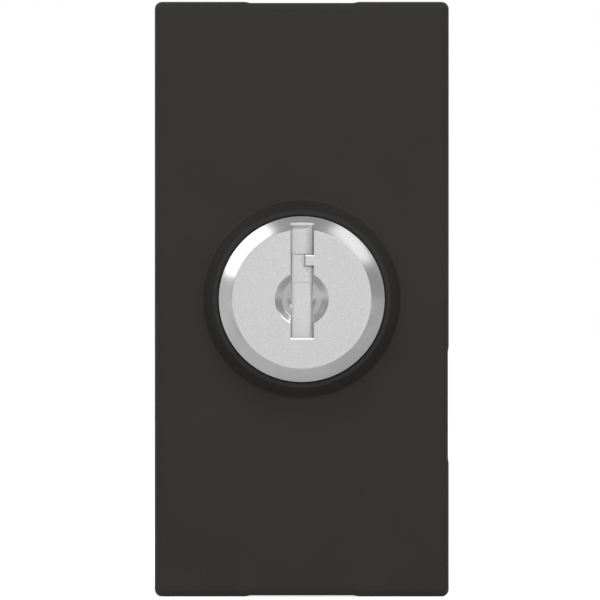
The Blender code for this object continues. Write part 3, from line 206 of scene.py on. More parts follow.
# Grain, in features to the metre, and its depth
PIT_SCALE = 9000.0
FLOW_SCALE = 140.0
BLAST_SCALE = 14000.0
SMUDGE_SCALE = 260.0
LINE_SCALE = 22000.0
PIT_DEPTH = 0.02 * MM
BLAST_DEPTH = 0.01 * MM
NOISE_RANGE = (0.3, 0.7)  # where most values of a noise lie
SUM_RANGE = (0.7, 1.3)  # and most sums of two

# Floor, and the glow that it shows in metal between two places: painted reflections, brighter close ahead and
# far ahead, brighter further left, and a darker strip to the right
FLOOR_GAP = 0.02 * MM  # under the switch
FLOOR_RADIUS = 6.0
FLOOR_SIDES = 96
FLOOR_TONE = (0.9, 0.9, 0.9, 1.0)
FLOOR_FAR = ((25 * MM, 65 * MM), (0.08, 0.40))  # ahead of the cover's face
FLOOR_CLOSE = ((13.3 * MM, 20.6 * MM), (0.29, 0.0))  # also ahead of it
FLOOR_LEFT = ((-45 * MM, -70 * MM), (0.0, 0.2))
# painted reflection: a darker strip on the right, seen only in the metal
FLOOR_RIGHT = ((5 * MM, 14 * MM), (0.0, -0.17))
FLOOR_RIGHT_END = ((11 * MM, 14 * MM), (1.0, 0.0))  # how the last one fades out ahead
FLOOR_SEEN = 0.75  # glow that the camera sees

# Room, by the way that a ray goes
WHITE = (1.0, 1.0, 1.0, 1.0)
ROOM_LIGHT = 0.36
ROOM_SLANT = (0.75, 0.66)  # how far its tone follows X and Z
ROOM_DUSK = ((-0.75, 0.75), (0.36, -0.06))
ROOM_BESIDE = ((-0.6, -0.35), (0.0, 1.0))
ROOM_SIDES = 0.64
ROOM_BEHIND = ((-0.12, 0.08), (0.0, 1.0))
ROOM_FRONT = ((-0.9, -0.74), (1.045, 0.0))

# View
FRAME_WIDTH = 45.38 * MM  # what the picture spans at the cover's face
FRAME_CENTRE = (-0.133 * MM, -0.065 * MM)  # the picture's middle, from the cover's middle
CAMERA_DISTANCE = 1.0
CAMERA_CLIP = (0.05, 20.0)

cover_low, cover_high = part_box("front_cover")
rotor_low, rotor_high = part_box("lock_rotor")
shutter_low, shutter_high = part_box("key_shutter")
housing_low, housing_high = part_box("rear_housing")
FACE_Y = cover_low.y + COLLAR_HEIGHT
RIM_Y = cover_low.y
LOCK_FACE_Y = rotor_low.y
HEAD_RADIUS = rotor_high.x
COUNTERBORE_RADIUS = HEAD_RADIUS + HEAD_GAP
HEEL_Y = LOCK_FACE_Y + (SLOT_TOP - HEAD_RADIUS + HEAD_BEVEL[0]) * HEAD_BEVEL[1] / HEAD_BEVEL[0]


def activate(piece):
    bpy.ops.object.select_all(action="DESELECT")
    piece.select_set(True)
    bpy.context.view_layer.objects.active = piece


def begin_edit(piece):
    activate(piece)
    bpy.ops.object.mode_set(mode="EDIT")


def end_edit():
    bpy.ops.object.mode_set(mode="OBJECT")


def pick(kind, test):
    """In edit mode, selects only the vertices, edges or faces that pass a test."""
    bpy.ops.mesh.select_mode(type=kind)
    bpy.ops.mesh.select_all(action="DESELECT")
    mesh = bpy.context.edit_object.data
    shape = bmesh.from_edit_mesh(mesh)
    for part in {"VERT": shape.verts, "EDGE": shape.edges, "FACE": shape.faces}[kind]:
        if test(part):
            part.select_set(True)
    bmesh.update_edit_mesh(mesh)


def near(a, b):
    return abs(a - b) < NEAR


def ends(edge, test):
    return all(test(vert.co) for vert in edge.verts)


def close_up():
    """In edit mode, merges doubled points and turns every face outwards."""
    bpy.ops.mesh.select_all(action="SELECT")
    bpy.ops.mesh.remove_doubles(threshold=WELD)
    bpy.ops.mesh.normals_make_consistent(inside=False)


def round_edges(piece, test, offset, segments, clamp=False):
    """Rounds the edges that pass a test, or chamfers them with a single segment."""
    begin_edit(piece)
    pick("EDGE", test)
    bpy.ops.mesh.bevel(offset=offset, segments=segments, affect="EDGES", clamp_overlap=clamp)
    end_edit()


def shift_points(piece, test, push):
    """Moves the points that pass a test."""
    begin_edit(piece)
    pick("VERT", test)
    bpy.ops.transform.translate(value=push)
    end_edit()


def axis_vector(axis, length):
    vector = [0.0, 0.0, 0.0]
    vector[axis] = length
    return vector


def apply_modifier(piece, kind, **settings):
    activate(piece)
    modifier = piece.modifiers.new(kind.lower(), kind)
    for name, value in settings.items():
        setattr(modifier, name, value)
    bpy.ops.object.modifier_apply(modifier=modifier.name)


def combine(piece, tool, operation):
    apply_modifier(piece, "BOOLEAN", operation=operation, object=tool)
    bpy.data.objects.remove(tool, do_unlink=True)


def cut(piece, *tools):
    for tool in tools:
        combine(piece, tool, "DIFFERENCE")


def join(piece, *tools):
    for tool in tools:
        combine(piece, tool, "UNION")


def span(start, end):
    return (min(start, end), max(start, end))


def centred(half, middle=0.0):
    return (middle - half, middle + half)


def settle():
    """Applies the new piece's place, turn and scale to its mesh."""
    bpy.ops.object.transform_apply(location=True, rotation=True, scale=True)


def add_slab(x, y, z):
    """A block between (low, high) limits."""
    bpy.ops.object.select_all(action="DESELECT")
    middle = [(low + high) / 2 for low, high in (x, y, z)]
    bpy.ops.mesh.primitive_cube_add(size=1.0, location=middle)
    slab = bpy.context.object
    slab.scale = [high - low for low, high in (x, y, z)]
    settle()
    return slab


def add_turned(profile, sides, along="Y", centre=(0.0, 0.0), hollow=False):
    """A form turned along Y or Z: a ring is drawn out through (radius, height) points.

    A hollow form is an open skin, and a solid one has its first and last ring filled.
    """
    radius, height = profile[0]
    bpy.ops.object.select_all(action="DESELECT")
    fill = "NOTHING" if hollow else "NGON"
    bpy.ops.mesh.primitive_circle_add(vertices=sides, radius=radius, fill_type=fill, location=(0, 0, 0))
    piece = bpy.context.object
    bpy.ops.object.mode_set(mode="EDIT")
    bpy.ops.mesh.select_mode(type="EDGE")
    bpy.ops.mesh.select_all(action="SELECT")
    bpy.ops.transform.translate(value=(0, 0, height))
    for next_radius, next_height in profile[1:]:
        step = {"value": (0, 0, next_height - height)}
        bpy.ops.mesh.extrude_region_move(TRANSFORM_OT_translate=step)
        growth = next_radius / radius
        bpy.ops.transform.resize(value=(growth, growth, 1), center_override=(0, 0, next_height))
        radius, height = next_radius, next_height
    close_up()
    end_edit()
    if along == "Y":
        piece.rotation_euler.x = -math.pi / 2
        piece.location = (centre[0], 0, centre[1])
    else:
        piece.location = (*centre, 0)
    settle()
    return piece


def arc(centre, radius, start, end, steps):
    """(radius, height) points on a round, from one angle to another in degrees."""
    angles = [math.radians(start + (end - start) * i / steps) for i in range(steps + 1)]
    return [(centre[0] + radius * math.cos(a), centre[1] + radius * math.sin(a)) for a in angles]


def finish_piece(piece, name, body, *nodes):
    """Names a piece, shades it and lets it stand for its CAD nodes."""
    piece.name = name
    piece.data.name = name
    activate(piece)
    bpy.ops.object.shade_smooth_by_angle(angle=SMOOTH_ANGLE)
    apply_modifier(piece, "WEIGHTED_NORMAL", keep_sharp=True)
    if body:
        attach(piece, body)
    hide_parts(*nodes)


def radius_of(point):
    return math.hypot(point.x, point.z)


def make_cover_blank():
    """The cover as a hollow box with rounded edges."""
    cover = add_slab((cover_low.x, cover_high.x), (FACE_Y, 0.0), (cover_low.z, cover_high.z))
    begin_edit(cover)
    pick("FACE", lambda face: face.normal.y > FACING)
    bpy.ops.mesh.inset(thickness=COVER_WALL)
    hollow = {"value": (0, FACE_Y + FACE_THICKNESS, 0)}
    bpy.ops.mesh.extrude_region_move(TRANSFORM_OT_translate=hollow)
    end_edit()
    corner = cover_high.x + cover_high.z

    def outer_edge(edge):
        at_corner = ends(edge, lambda co: near(abs(co.x) + abs(co.z), corner))
        at_rear = ends(edge, lambda co: near(co.y, 0.0))
        at_face = ends(edge, lambda co: near(co.y, FACE_Y))
        return (at_corner and not at_rear) or at_face

    round_edges(cover, outer_edge, COVER_ROUND, COVER_ROUND_STEPS)
    return cover


def press_relief(cover, axis, side, middle, size):
    """A shallow relief in an outer wall: the wall is cut across and pressed in between the cuts."""
    half, depth = size
    across = Z_AXIS if axis == X_AXIS else X_AXIS
    wall = cover_high[axis] - COVER_ROUND - NEAR
    begin_edit(cover)
    for place in (-half - RELIEF_SLOPE, -half, half, half + RELIEF_SLOPE):
        pick("FACE", lambda face: side * face.calc_center_median()[axis] > wall)
        point = axis_vector(across, middle + place)
        bpy.ops.mesh.bisect(plane_co=point, plane_no=axis_vector(across, 1.0))
    end_edit()

    def pressed(vert):
        return side * vert.co[axis] > wall and abs(vert.co[across] - middle) < half + NEAR

    shift_points(cover, pressed, axis_vector(axis, -side * depth))


def make_collar():
    """The raised collar with the seat for the lock, and the ring of the face round it."""
    rim_radius = COUNTERBORE_RADIUS + COLLAR_RIM_WIDTH
    foot_radius = rim_radius + COLLAR_SPREAD
    slope = math.degrees(math.atan2(COLLAR_HEIGHT, COLLAR_SPREAD))
    turn = math.radians(slope)
    rim_reach = COLLAR_RIM_ROUND * math.tan(turn / 2)
    foot_reach = COLLAR_FOOT_ROUND * math.tan(turn / 2)
    lip_steps, rim_steps, foot_steps = COLLAR_STEPS
    inner_y = FACE_Y + FACE_THICKNESS
    profile = [(COLLAR_SEAM_RADIUS, inner_y), (HOLE_RADIUS, inner_y), (HOLE_RADIUS, COUNTERBORE_Y)]
    profile += [(COUNTERBORE_RADIUS, COUNTERBORE_Y)]
    lip = (COUNTERBORE_RADIUS + COLLAR_LIP_ROUND, RIM_Y + COLLAR_LIP_ROUND)
    profile += arc(lip, COLLAR_LIP_ROUND, 180, 270, lip_steps)
    rim = (rim_radius - rim_reach, RIM_Y + COLLAR_RIM_ROUND)
    profile += arc(rim, COLLAR_RIM_ROUND, 270, 270 + slope, rim_steps)
    foot = (foot_radius + foot_reach, FACE_Y - COLLAR_FOOT_ROUND)
    profile += arc(foot, COLLAR_FOOT_ROUND, 90 + slope, 90, foot_steps)
    profile += [(COLLAR_SEAM_RADIUS, FACE_Y)]
    return add_turned(profile, FINE_SIDES, hollow=True)


def soften_rims(piece, axis, place):
    """Breaks the sharp rims of the openings in an outer wall."""

    def on_rim(edge):
        if not edge.is_convex or not ends(edge, lambda co: abs(co[axis] - place) < RIM_REACH):
            return False
        across = [abs(face.normal[axis]) for face in edge.link_faces]
        return min(across) < ASIDE and max(across) > FACING

    round_edges(piece, on_rim, RIM_BREAK, RIM_STEPS, clamp=True)


def make_cover():
    cover = make_cover_blank()
    press_relief(cover, Z_AXIS, 1, 0.0, END_RELIEF)
    press_relief(cover, Z_AXIS, -1, 0.0, END_RELIEF)
    press_relief(cover, X_AXIS, 1, -SIDE_RELIEF_DROP, SIDE_RELIEF)
    inner_x, inner_z = cover_high.x - COVER_WALL, cover_high.z - COVER_WALL
    stop_y = (FACE_Y + FACE_THICKNESS - THROUGH / 2, housing_low.y - 2 * FIT)
    for right in (-1, 1):
        for up in (-1, 1):
            stop_x = span(right * (inner_x - COVER_WALL), right * (inner_x + THROUGH / 2))
            stop_z = span(up * (inner_z - STOP_LENGTH), up * (inner_z + THROUGH / 2))
            join(cover, add_slab(stop_x, stop_y, stop_z))
            window_x = span(right * (inner_x - THROUGH), right * (cover_high.x + THROUGH))
            cut(cover, add_slab(window_x, SNAP_WINDOW_Y, centred(SNAP_WINDOW_HALF, up * SNAP_CENTRE)))
    soften_rims(cover, X_AXIS, cover_high.x)
    soften_rims(cover, X_AXIS, cover_low.x)
    begin_edit(cover)
    for across in ((1, 0, 0), (0, 0, 1)):
        bpy.ops.mesh.select_all(action="SELECT")
        bpy.ops.mesh.bisect(plane_co=(0, 0, 0), plane_no=across)
    end_edit()
    seat_y = (FACE_Y - THROUGH, FACE_Y + FACE_THICKNESS + THROUGH)
    cut(cover, add_turned([(COLLAR_SEAM_RADIUS, y) for y in seat_y], FINE_SIDES))
    begin_edit(cover)
    pick("FACE", on_seam)
    bpy.ops.mesh.delete(type="FACE")
    end_edit()
    collar = make_collar()
    activate(cover)
    collar.select_set(True)
    bpy.ops.object.join()
    begin_edit(cover)
    close_up()
    end_edit()
    flat_x = (-HOLE_RADIUS - FIT, -HOLE_FLAT)
    hole_y = (COUNTERBORE_Y + FIT, FACE_Y + FACE_THICKNESS - FIT)
    join(cover, add_slab(flat_x, hole_y, centred(HOLE_FLAT_HALF)))
    finish_piece(cover, "cover_shell", "casing", "front_cover")
    return cover


def on_seam(face):
    """Whether a face is part of the round wall that the collar's ring takes the place of."""
    upright = abs(face.normal.y) < SIDEWAYS
    return upright and all(abs(radius_of(v.co) - COLLAR_SEAM_RADIUS) < SEAM_NEAR for v in face.verts)


def make_slot_tool():
    """The key slot's opening in the lock face, with the ward left standing on its right."""
    depth = (LOCK_FACE_Y - FIT, LOCK_FACE_Y + LIP_THICKNESS + FIT)
    bottom = SLOT_BOTTOM + TOE_LIFT + SLOT_TOE[0] / 2
    tool = add_slab(SLOT_X, depth, (bottom, shutter_high.z + SHUTTER_GAP))
    lean(tool, depth[1], X_AXIS, SLOT_X[0], SLOT_DRAFT)
    lean(tool, depth[1], X_AXIS, SLOT_X[1], -SLOT_DRAFT)
    ward_x = (SLOT_X[1] - WARD_REACH, SLOT_X[1] + THROUGH)
    ward = add_slab(ward_x, (depth[0] - FIT, depth[1] + FIT), WARD_Z)
    lean(ward, depth[1] + FIT, X_AXIS, ward_x[0], -SLOT_DRAFT)
    lean(ward, depth[1] + FIT, Z_AXIS, WARD_Z[0], -SLOT_DRAFT)
    cut(tool, ward)
    return tool


def lean(tool, y, axis, place, shift):
    """Moves the corners of one side of a tool at one depth, so that the wall it cuts leans."""
    shift_points(tool, lambda v: near(v.co.y, y) and near(v.co[axis], place), axis_vector(axis, shift))


def make_recess_tool():
    """The recess over the slot, with a round along the right of its floor."""
    mouth_y, floor_y = LOCK_FACE_Y - FIT, LOCK_FACE_Y + RECESS_DEPTH
    bottom, top = shutter_high.z + SHUTTER_GAP, SLOT_TOP - SLOT_HEEL[0]
    tool = add_slab(SLOT_X, (mouth_y, floor_y), (bottom, top))
    lean(tool, floor_y, X_AXIS, SLOT_X[0], SLOT_DRAFT)
    lean(tool, floor_y, X_AXIS, SLOT_X[1], -SLOT_DRAFT)
    heel_depth = HEEL_Y + SLOT_HEEL[1] - LOCK_FACE_Y
    lean(tool, floor_y, Z_AXIS, top, -RECESS_END)
    lean(tool, mouth_y, Z_AXIS, top, RECESS_END * (heel_depth + FIT) / (RECESS_DEPTH - heel_depth))

    def floor_edge(edge):
        return ends(edge, lambda co: near(co.x, SLOT_X[1] - SLOT_DRAFT) and near(co.y, floor_y))

    round_edges(tool, floor_edge, RECESS_ROUND, RECESS_STEPS)
    return tool


def make_slope_tool(x, surface_y, z, depth):
    """A tool for a slope that starts in the surface at z[0] and is deepest at z[1]."""
    floor_y = surface_y + depth
    tool = add_slab(x, (LOCK_FACE_Y - FIT, floor_y), span(*z))
    shift_points(tool, lambda v: near(v.co.y, floor_y) and near(v.co.z, z[0]), (0, -depth, 0))
    return tool


def cut_slot_slopes(rotor):
    """The slopes that catch the light: the slot's heel on the bevel, its toe and the ward's brow."""
    height, depth = SLOT_HEEL
    cut(rotor, make_slope_tool(SLOT_X, HEEL_Y, (SLOT_TOP, SLOT_TOP - height), depth))
    height, depth = SLOT_TOE
    cut(rotor, make_slope_tool(SLOT_X, LOCK_FACE_Y, centred(height / 2, SLOT_BOTTOM + TOE_LIFT), depth))
    height, depth = WARD_BROW
    ward_x = (SLOT_X[1] - WARD_REACH - FIT, SLOT_X[1])
    cut(rotor, make_slope_tool(ward_x, LOCK_FACE_Y, (WARD_Z[1] - height, WARD_Z[1]), depth))


def dimple_profile():
    """(radius, height) points of the guide dimple, whose slope changes from rim to floor."""
    width = DIMPLE_RADIUS - DIMPLE_FLOOR_RADIUS
    points = [(DIMPLE_RADIUS, LOCK_FACE_Y - THROUGH), (DIMPLE_RADIUS, LOCK_FACE_Y)]
    for step in range(DIMPLE_STEPS):
        share = (step + 0.5) / DIMPLE_STEPS
        for (start, slope), (end, next_slope) in zip(DIMPLE_SLOPES, DIMPLE_SLOPES[1:]):
            if start <= share < end:
                tilt = math.radians(slope + (next_slope - slope) * (share - start) / (end - start))
        radius, height = points[-1]
        points.append((radius - width / DIMPLE_STEPS, height + math.tan(tilt) * width / DIMPLE_STEPS))
    return points


def on_slot_mouth(edge):
    """Whether an edge lies along the mouth of the key slot, between the lock face and a side wall."""
    if not ends(edge, lambda co: SLOT_X[0] - NEAR < co.x < SLOT_X[1] + NEAR and co.z < SLOT_TOP + NEAR):
        return False
    if not ends(edge, lambda co: co.y < LOCK_FACE_Y + LIP_THICKNESS):
        return False
    if near(edge.verts[0].co.z, edge.verts[1].co.z):
        return False
    normals = [face.normal for face in edge.link_faces]
    return any(abs(n.y) < TILTED for n in normals) and any(n.y < -OUTWARD for n in normals)


def in_recess(face):
    """Whether a face is part of the recess's floor or of the round beside it."""
    inside = SLOT_X[0] < face.center.x < SLOT_X[1] - SLOT_DRAFT and shutter_high.z < face.center.z < SLOT_TOP
    deep = LOCK_FACE_Y + SLOT_CHAMFER < face.center.y < LOCK_FACE_Y + RECESS_DEPTH + NEAR
    return inside and deep and face.normal.x < SIDEWAYS and face.normal.y < -SIDEWAYS


def gets_painted_highlight(face):
    """Whether a face is the slot's heel or a slope or chamfer that looks up, which is given a painted
    highlight.
    """
    beside = SLOT_X[0] - SLOT_CHAMFER < face.center.x < SLOT_X[1] + SLOT_CHAMFER
    heel = face.normal.z < -TILTED and SLOT_TOP - SLOT_HEEL[0] < face.center.z < SLOT_TOP
    ledge = face.normal.z > TILTED and SLOT_BOTTOM - SLOT_TOE[0] < face.center.z < BLADE_TOP
    return beside and face.normal.y < -TILTED and (heel or ledge) and not in_dimple(face)


def in_dimple(face):
    return radius_of(face.center) < DIMPLE_RADIUS


def on_dimple(face):
    """Whether a face is part of the dimple's slope."""
    return in_dimple(face) and LOCK_FACE_Y + NEAR < face.center.y < LOCK_FACE_Y + LIP_THICKNESS


def on_front(face):
    """Whether a face is on the lock's front, as deep as the recess."""
    return face.center.y < LOCK_FACE_Y + RECESS_DEPTH + NEAR


def on_polish(face):
    return on_front(face) and POLISHED[0] <= face.normal.y < POLISHED[1]


def make_rotor_blank():
    """The head with its polished bevel, the core behind it and the square tail."""
    width, depth = HEAD_BEVEL
    profile = [(HEAD_RADIUS - width, LOCK_FACE_Y), (HEAD_RADIUS, LOCK_FACE_Y + depth)]
    profile += [(HEAD_RADIUS, HEAD_REAR_Y), (CORE_RADIUS, HEAD_REAR_Y), (CORE_RADIUS, CORE_REAR_Y)]
    rotor = add_turned(profile, FINE_SIDES)

    def head_edge(edge):
        ring = near(edge.verts[0].co.y, edge.verts[1].co.y)
        outside = ends(edge, lambda co: radius_of(co) > HEAD_RADIUS - 2 * width)
        return ring and outside and ends(edge, lambda co: co.y < HEAD_REAR_Y + NEAR)

    round_edges(rotor, head_edge, EDGE_BREAK, EDGE_STEPS)
    tail_x = centred(TAIL_HALF)
    join(rotor, add_slab(tail_x, (CORE_REAR_Y - THROUGH, rotor_high.y), tail_x))
    return rotor


def make_rotor():
    rotor = make_rotor_blank()
    cut(rotor, add_turned(dimple_profile(), FINE_SIDES), make_slot_tool(), make_recess_tool())
    cut_slot_slopes(rotor)
    round_edges(rotor, on_slot_mouth, SLOT_CHAMFER, 1, clamp=True)
    chamber_x = (shutter_low.x - FIT, shutter_high.x + 2 * FIT)
    chamber_z = (shutter_low.z - 2 * FIT, shutter_high.z + SHUTTER_GAP)
    cut(rotor, add_slab(chamber_x, (LOCK_FACE_Y + LIP_THICKNESS, CHAMBER_REAR_Y), chamber_z))
    cut(rotor, add_slab(SLOT_X, (CHAMBER_REAR_Y - FIT, KEYWAY_END_Y), (SLOT_BOTTOM, BLADE_TOP)))
    for number in range(1, WAFER_COUNT + 1):
        low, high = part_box(f"wafer_{number}")
        spring_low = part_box(f"wafer_spring_{number}")[0].z
        slice_y = (low.y - FIT, high.y + FIT)
        cut(rotor, add_slab(centred(-low.x + FIT), slice_y, centred(CORE_RADIUS + THROUGH)))
        cut(rotor, add_slab((0.0, high.x + FIT), slice_y, (spring_low - FIT, SPRING_ROOM_TOP)))
    for node, along in (("shutter_pin", "Z"), ("stop_pin", "Z"), ("cam_screw", "Y")):
        cut(rotor, pin_hole(node, along))
    finish_piece(rotor, "lock_head_and_core", "rotor", "lock_rotor")
    return rotor


def pin_hole(node, along):
    """A round hole for a pin or screw shank, from the CAD node's box."""
    low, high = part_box(node)
    middle = (low + high) / 2
    if node == "cam_screw":
        radius = CAM_SCREW_RADIUS + FIT
        return add_turned([(radius, low.y - FIT), (radius, rotor_high.y + THROUGH)], SMALL_SIDES)
    radius = high.x - middle.x + FIT
    start = -CORE_RADIUS - THROUGH if node == "stop_pin" else low.z - FIT
    return add_turned([(radius, start), (radius, high.z + FIT)], SMALL_SIDES, along, (middle.x, middle.y))


def make_dish_tool():
    """The shallow dish in the flap's front, round at its upper end and open at its lower one."""
    radius, depth = SHUTTER_DISH
    front = shutter_low.y
    tool = add_turned([(radius + depth, front - depth), (radius - depth, front + depth)], FINE_SIDES)
    shift_points(tool, lambda v: v.co.z < -NEAR, (0, 0, shutter_low.z))
    return tool


def bend_back(flap):
    """Bends the flap's free side back, more and more towards its edge."""
    start, depth = SHUTTER_BEND
    width = (shutter_high.x - start) / BEND_COLUMNS
    begin_edit(flap)
    for column in range(BEND_COLUMNS):
        bpy.ops.mesh.select_all(action="SELECT")
        bpy.ops.mesh.bisect(plane_co=(start + column * width, 0, 0), plane_no=(1, 0, 0))
    for column in range(1, BEND_COLUMNS + 1):
        pick("VERT", lambda v: abs(v.co.x - start - column * width) < width / 2)
        push = depth * (column / BEND_COLUMNS) ** 2
        bpy.ops.transform.translate(value=(0, push, 0))
    end_edit()


def make_shutter():
    """The sprung flap behind the slot, rolled round its pin."""
    pin_low, pin_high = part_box("shutter_pin")
    hinge = ((pin_low.x + pin_high.x) / 2, (pin_low.y + pin_high.y) / 2)
    bottom, top = shutter_low.z, shutter_high.z
    depth = (shutter_low.y, shutter_low.y + SHUTTER_THICKNESS)
    flap = add_slab((hinge[0], shutter_high.x), depth, (bottom, top))
    round_edges(flap, lambda edge: ends(edge, lambda co: co.x > hinge[0] + NEAR), FLAP_BREAK, FLAP_STEPS)
    cut(flap, make_dish_tool())
    bend_back(flap)
    knuckle = [(KNUCKLE_RADIUS, bottom), (KNUCKLE_RADIUS, top)]
    join(flap, add_turned(knuckle, SMALL_SIDES, "Z", hinge))
    bore_radius = (pin_high.x - pin_low.x) / 2 + FIT
    bore = [(bore_radius, bottom - THROUGH), (bore_radius, top + THROUGH)]
    cut(flap, add_turned(bore, SMALL_SIDES, "Z", hinge))
    finish_piece(flap, "shutter_flap", "shutter", "key_shutter")
    return flap


def make_shutter_leaf():
    """The bent leaf that closes the shutter, drawn from its foot to its tip."""
    low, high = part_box("shutter_spring")
    pin_low, pin_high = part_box("shutter_pin")
    hinge_y = (pin_low.y + pin_high.y) / 2
    foot = Vector((low.x + LEAF_THICKNESS / 2, high.y - NEAR, 0.0))
    knee = Vector((foot.x + LEAF_THICKNESS, hinge_y + KNUCKLE_RADIUS + 2 * SHUTTER_THICKNESS, 0.0))
    tip = Vector((high.x - LEAF_THICKNESS / 2, low.y + LEAF_THICKNESS / 2, 0.0))
    bend_start, bend_end = knee.lerp(foot, LEAF_CORNER), knee.lerp(tip, LEAF_CORNER)
    path = [foot]
    for step in range(LEAF_STEPS + 1):
        share = step / LEAF_STEPS
        path.append(bend_start.lerp(knee, share).lerp(knee.lerp(bend_end, share), share))
    path += [bend_end.lerp(tip, step / LEAF_STEPS) for step in range(1, LEAF_STEPS + 1)]
    width = high.z - low.z
    bpy.ops.object.select_all(action="DESELECT")
    start = (foot.x, foot.y - width / 2, 0)
    bpy.ops.mesh.primitive_plane_add(size=width, location=start, rotation=(0, math.pi / 2, 0))
    leaf = bpy.context.object
    settle()
    begin_edit(leaf)
    pick("VERT", lambda v: v.co.y < foot.y - NEAR)
    bpy.ops.mesh.delete(type="VERT")
    bpy.ops.mesh.select_mode(type="EDGE")
    bpy.ops.mesh.select_all(action="SELECT")
    for here, there in zip(path, path[1:]):
        bpy.ops.mesh.extrude_region_move(TRANSFORM_OT_translate={"value": there - here})
    end_edit()
    apply_modifier(leaf, "SOLIDIFY", thickness=LEAF_THICKNESS, offset=0.0, use_even_offset=True)
    begin_edit(leaf)
    close_up()
    end_edit()
    finish_piece(leaf, "shutter_leaf", None, "shutter_spring")
    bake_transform(leaf)
    return leaf


def make_return_coil(side):
    """A wound spring behind a plunger."""
    low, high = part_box(f"return_spring_{side}")
    radius = (high.x - low.x - RETURN_WIRE) / 2
    length = high.y - low.y
    bpy.ops.object.select_all(action="DESELECT")
    wire = RETURN_WIRE / 2
    upright = (math.pi / 2, 0, 0)
    bpy.ops.mesh.primitive_circle_add(
        vertices=WIRE_SIDES, radius=wire, location=(radius, 0, wire), rotation=upright
    )
    coil = bpy.context.object
    settle()
    pitch = (length - RETURN_WIRE) / RETURN_TURNS
    winding = {"angle": 2 * math.pi, "screw_offset": pitch, "iterations": RETURN_TURNS}
    apply_modifier(coil, "SCREW", steps=RETURN_STEPS, render_steps=RETURN_STEPS, **winding)
    begin_edit(coil)
    bpy.ops.mesh.select_all(action="SELECT")
    bpy.ops.mesh.fill_holes(sides=0)
    close_up()
    end_edit()
    coil.rotation_euler.x = -math.pi / 2
    coil.location = ((low.x + high.x) / 2, low.y, (low.z + high.z) / 2)
    settle()
    finish_piece(coil, f"return_coil_{side}", "casing", f"return_spring_{side}")
    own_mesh(coil)
    return coil


def make_housing_blank():
    y = (housing_low.y, housing_high.y)
    housing = add_slab(centred(HOUSING_HALF_X), y, centred(HOUSING_HALF_Z))

    def behind_rim(edge):
        return max(v.co.y for v in edge.verts) > 0

    round_edges(housing, behind_rim, HOUSING_ROUND, HOUSING_ROUND_STEPS)
    inner_x, inner_z = HOUSING_HALF_X - HOUSING_WALL, HOUSING_HALF_Z - HOUSING_WALL
    cut(housing, add_slab(centred(inner_x), (y[0] - THROUGH, y[1] - HOUSING_WALL), centred(inner_z)))
    return housing


def add_wedge(x, y, z, lead):
    """A block whose outer face (z[1]) falls away towards the rear, as on a catch."""
    wedge = add_slab(x, y, span(*z))
    shift_points(wedge, lambda v: near(v.co.z, z[1]) and near(v.co.y, y[1]), (0, -lead, 0))
    return wedge


def make_tab(housing, up):
    """A sprung tab cut free on three sides, with the catch for the mounting frame on it."""
    outer = up * housing_high.z
    root = up * (HOUSING_HALF_Z - HOUSING_WALL / 2)
    tooth_lead = TOOTH_Y[1] - TOOTH_Y[0] - TOOTH_FLAT
    join(housing, add_wedge(centred(TAB_HALF - TAB_SLOT), TOOTH_Y, (root, outer), tooth_lead))
    wall = span(up * (HOUSING_HALF_Z - 2 * HOUSING_WALL), up * (HOUSING_HALF_Z + THROUGH))
    slot = add_slab(centred(TAB_HALF + TAB_SLOT), TAB_Y, wall)
    tab_y = (TAB_Y[0] + TAB_SLOT, TAB_Y[1] + THROUGH)
    cut(slot, add_slab(centred(TAB_HALF), tab_y, (wall[0] - THROUGH, wall[1] + THROUGH)))
    cut(housing, slot)


def make_snap_lug(housing, right, up):
    """A lug on the side wall that snaps into a window of the cover."""
    lead, lock = SNAP_WINDOW_Y[0] + SNAP_PLAY, SNAP_WINDOW_Y[1] - SNAP_PLAY
    crest = right * housing_high.x
    root = right * (HOUSING_HALF_X - HOUSING_WALL / 2)
    lug = add_slab(span(root, crest), (lead, lock), centred(SNAP_LUG_HALF, up * SNAP_CENTRE))
    ramp = lock - lead - SNAP_FLAT
    shift_points(lug, lambda v: near(v.co.x, crest) and near(v.co.y, lead), (0, ramp, 0))
    join(housing, lug)


def make_terminal_bay(housing, level, side):
    """The wire entry at the back, the screw entry at the end and the rib beside one terminal."""
    right = -1 if side == "left" else 1
    up = -1 if level == "bottom" else 1
    block_low, block_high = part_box(f"terminal_block_{level}_{side}")
    screw_low, screw_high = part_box(f"terminal_screw_{level}_{side}")
    barrier_low, barrier_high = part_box(f"barrier_screw_{level}")
    rear = housing_high.y
    radius, mouth, mouth_depth = WIRE_ENTRY
    wire_level = (barrier_low.z + barrier_high.z) / 2  # the wires go in level with this screw
    wire = ((block_low.x + block_high.x) / 2, wire_level)
    flare = mouth + (mouth - radius) * THROUGH / mouth_depth
    entry = [(radius, rear - 2 * HOUSING_WALL), (radius, rear - mouth_depth), (flare, rear + THROUGH)]
    cut(housing, add_turned(entry, SMALL_SIDES, "Y", wire))
    screw_middle = (screw_low + screw_high) / 2
    hole = span(up * (HOUSING_HALF_Z - 2 * HOUSING_WALL), up * (HOUSING_HALF_Z + THROUGH))
    ends_of_hole = [(SCREW_ENTRY_RADIUS, hole[0]), (SCREW_ENTRY_RADIUS, hole[1])]
    cut(housing, add_turned(ends_of_hole, SMALL_SIDES, "Z", (screw_middle.x, screw_middle.y)))
    inner_x = HOUSING_HALF_X - HOUSING_WALL
    rib_x = span(right * (inner_x - RIB_THICKNESS), right * (inner_x + HOUSING_WALL / 2))
    rib_z = span(up * (TERMINAL_INNER - RIB_THICKNESS), up * (TERMINAL_INNER - 2 * FIT))
    join(housing, add_slab(rib_x, (WEB_FRONT_Y, rear - HOUSING_WALL / 2), rib_z))


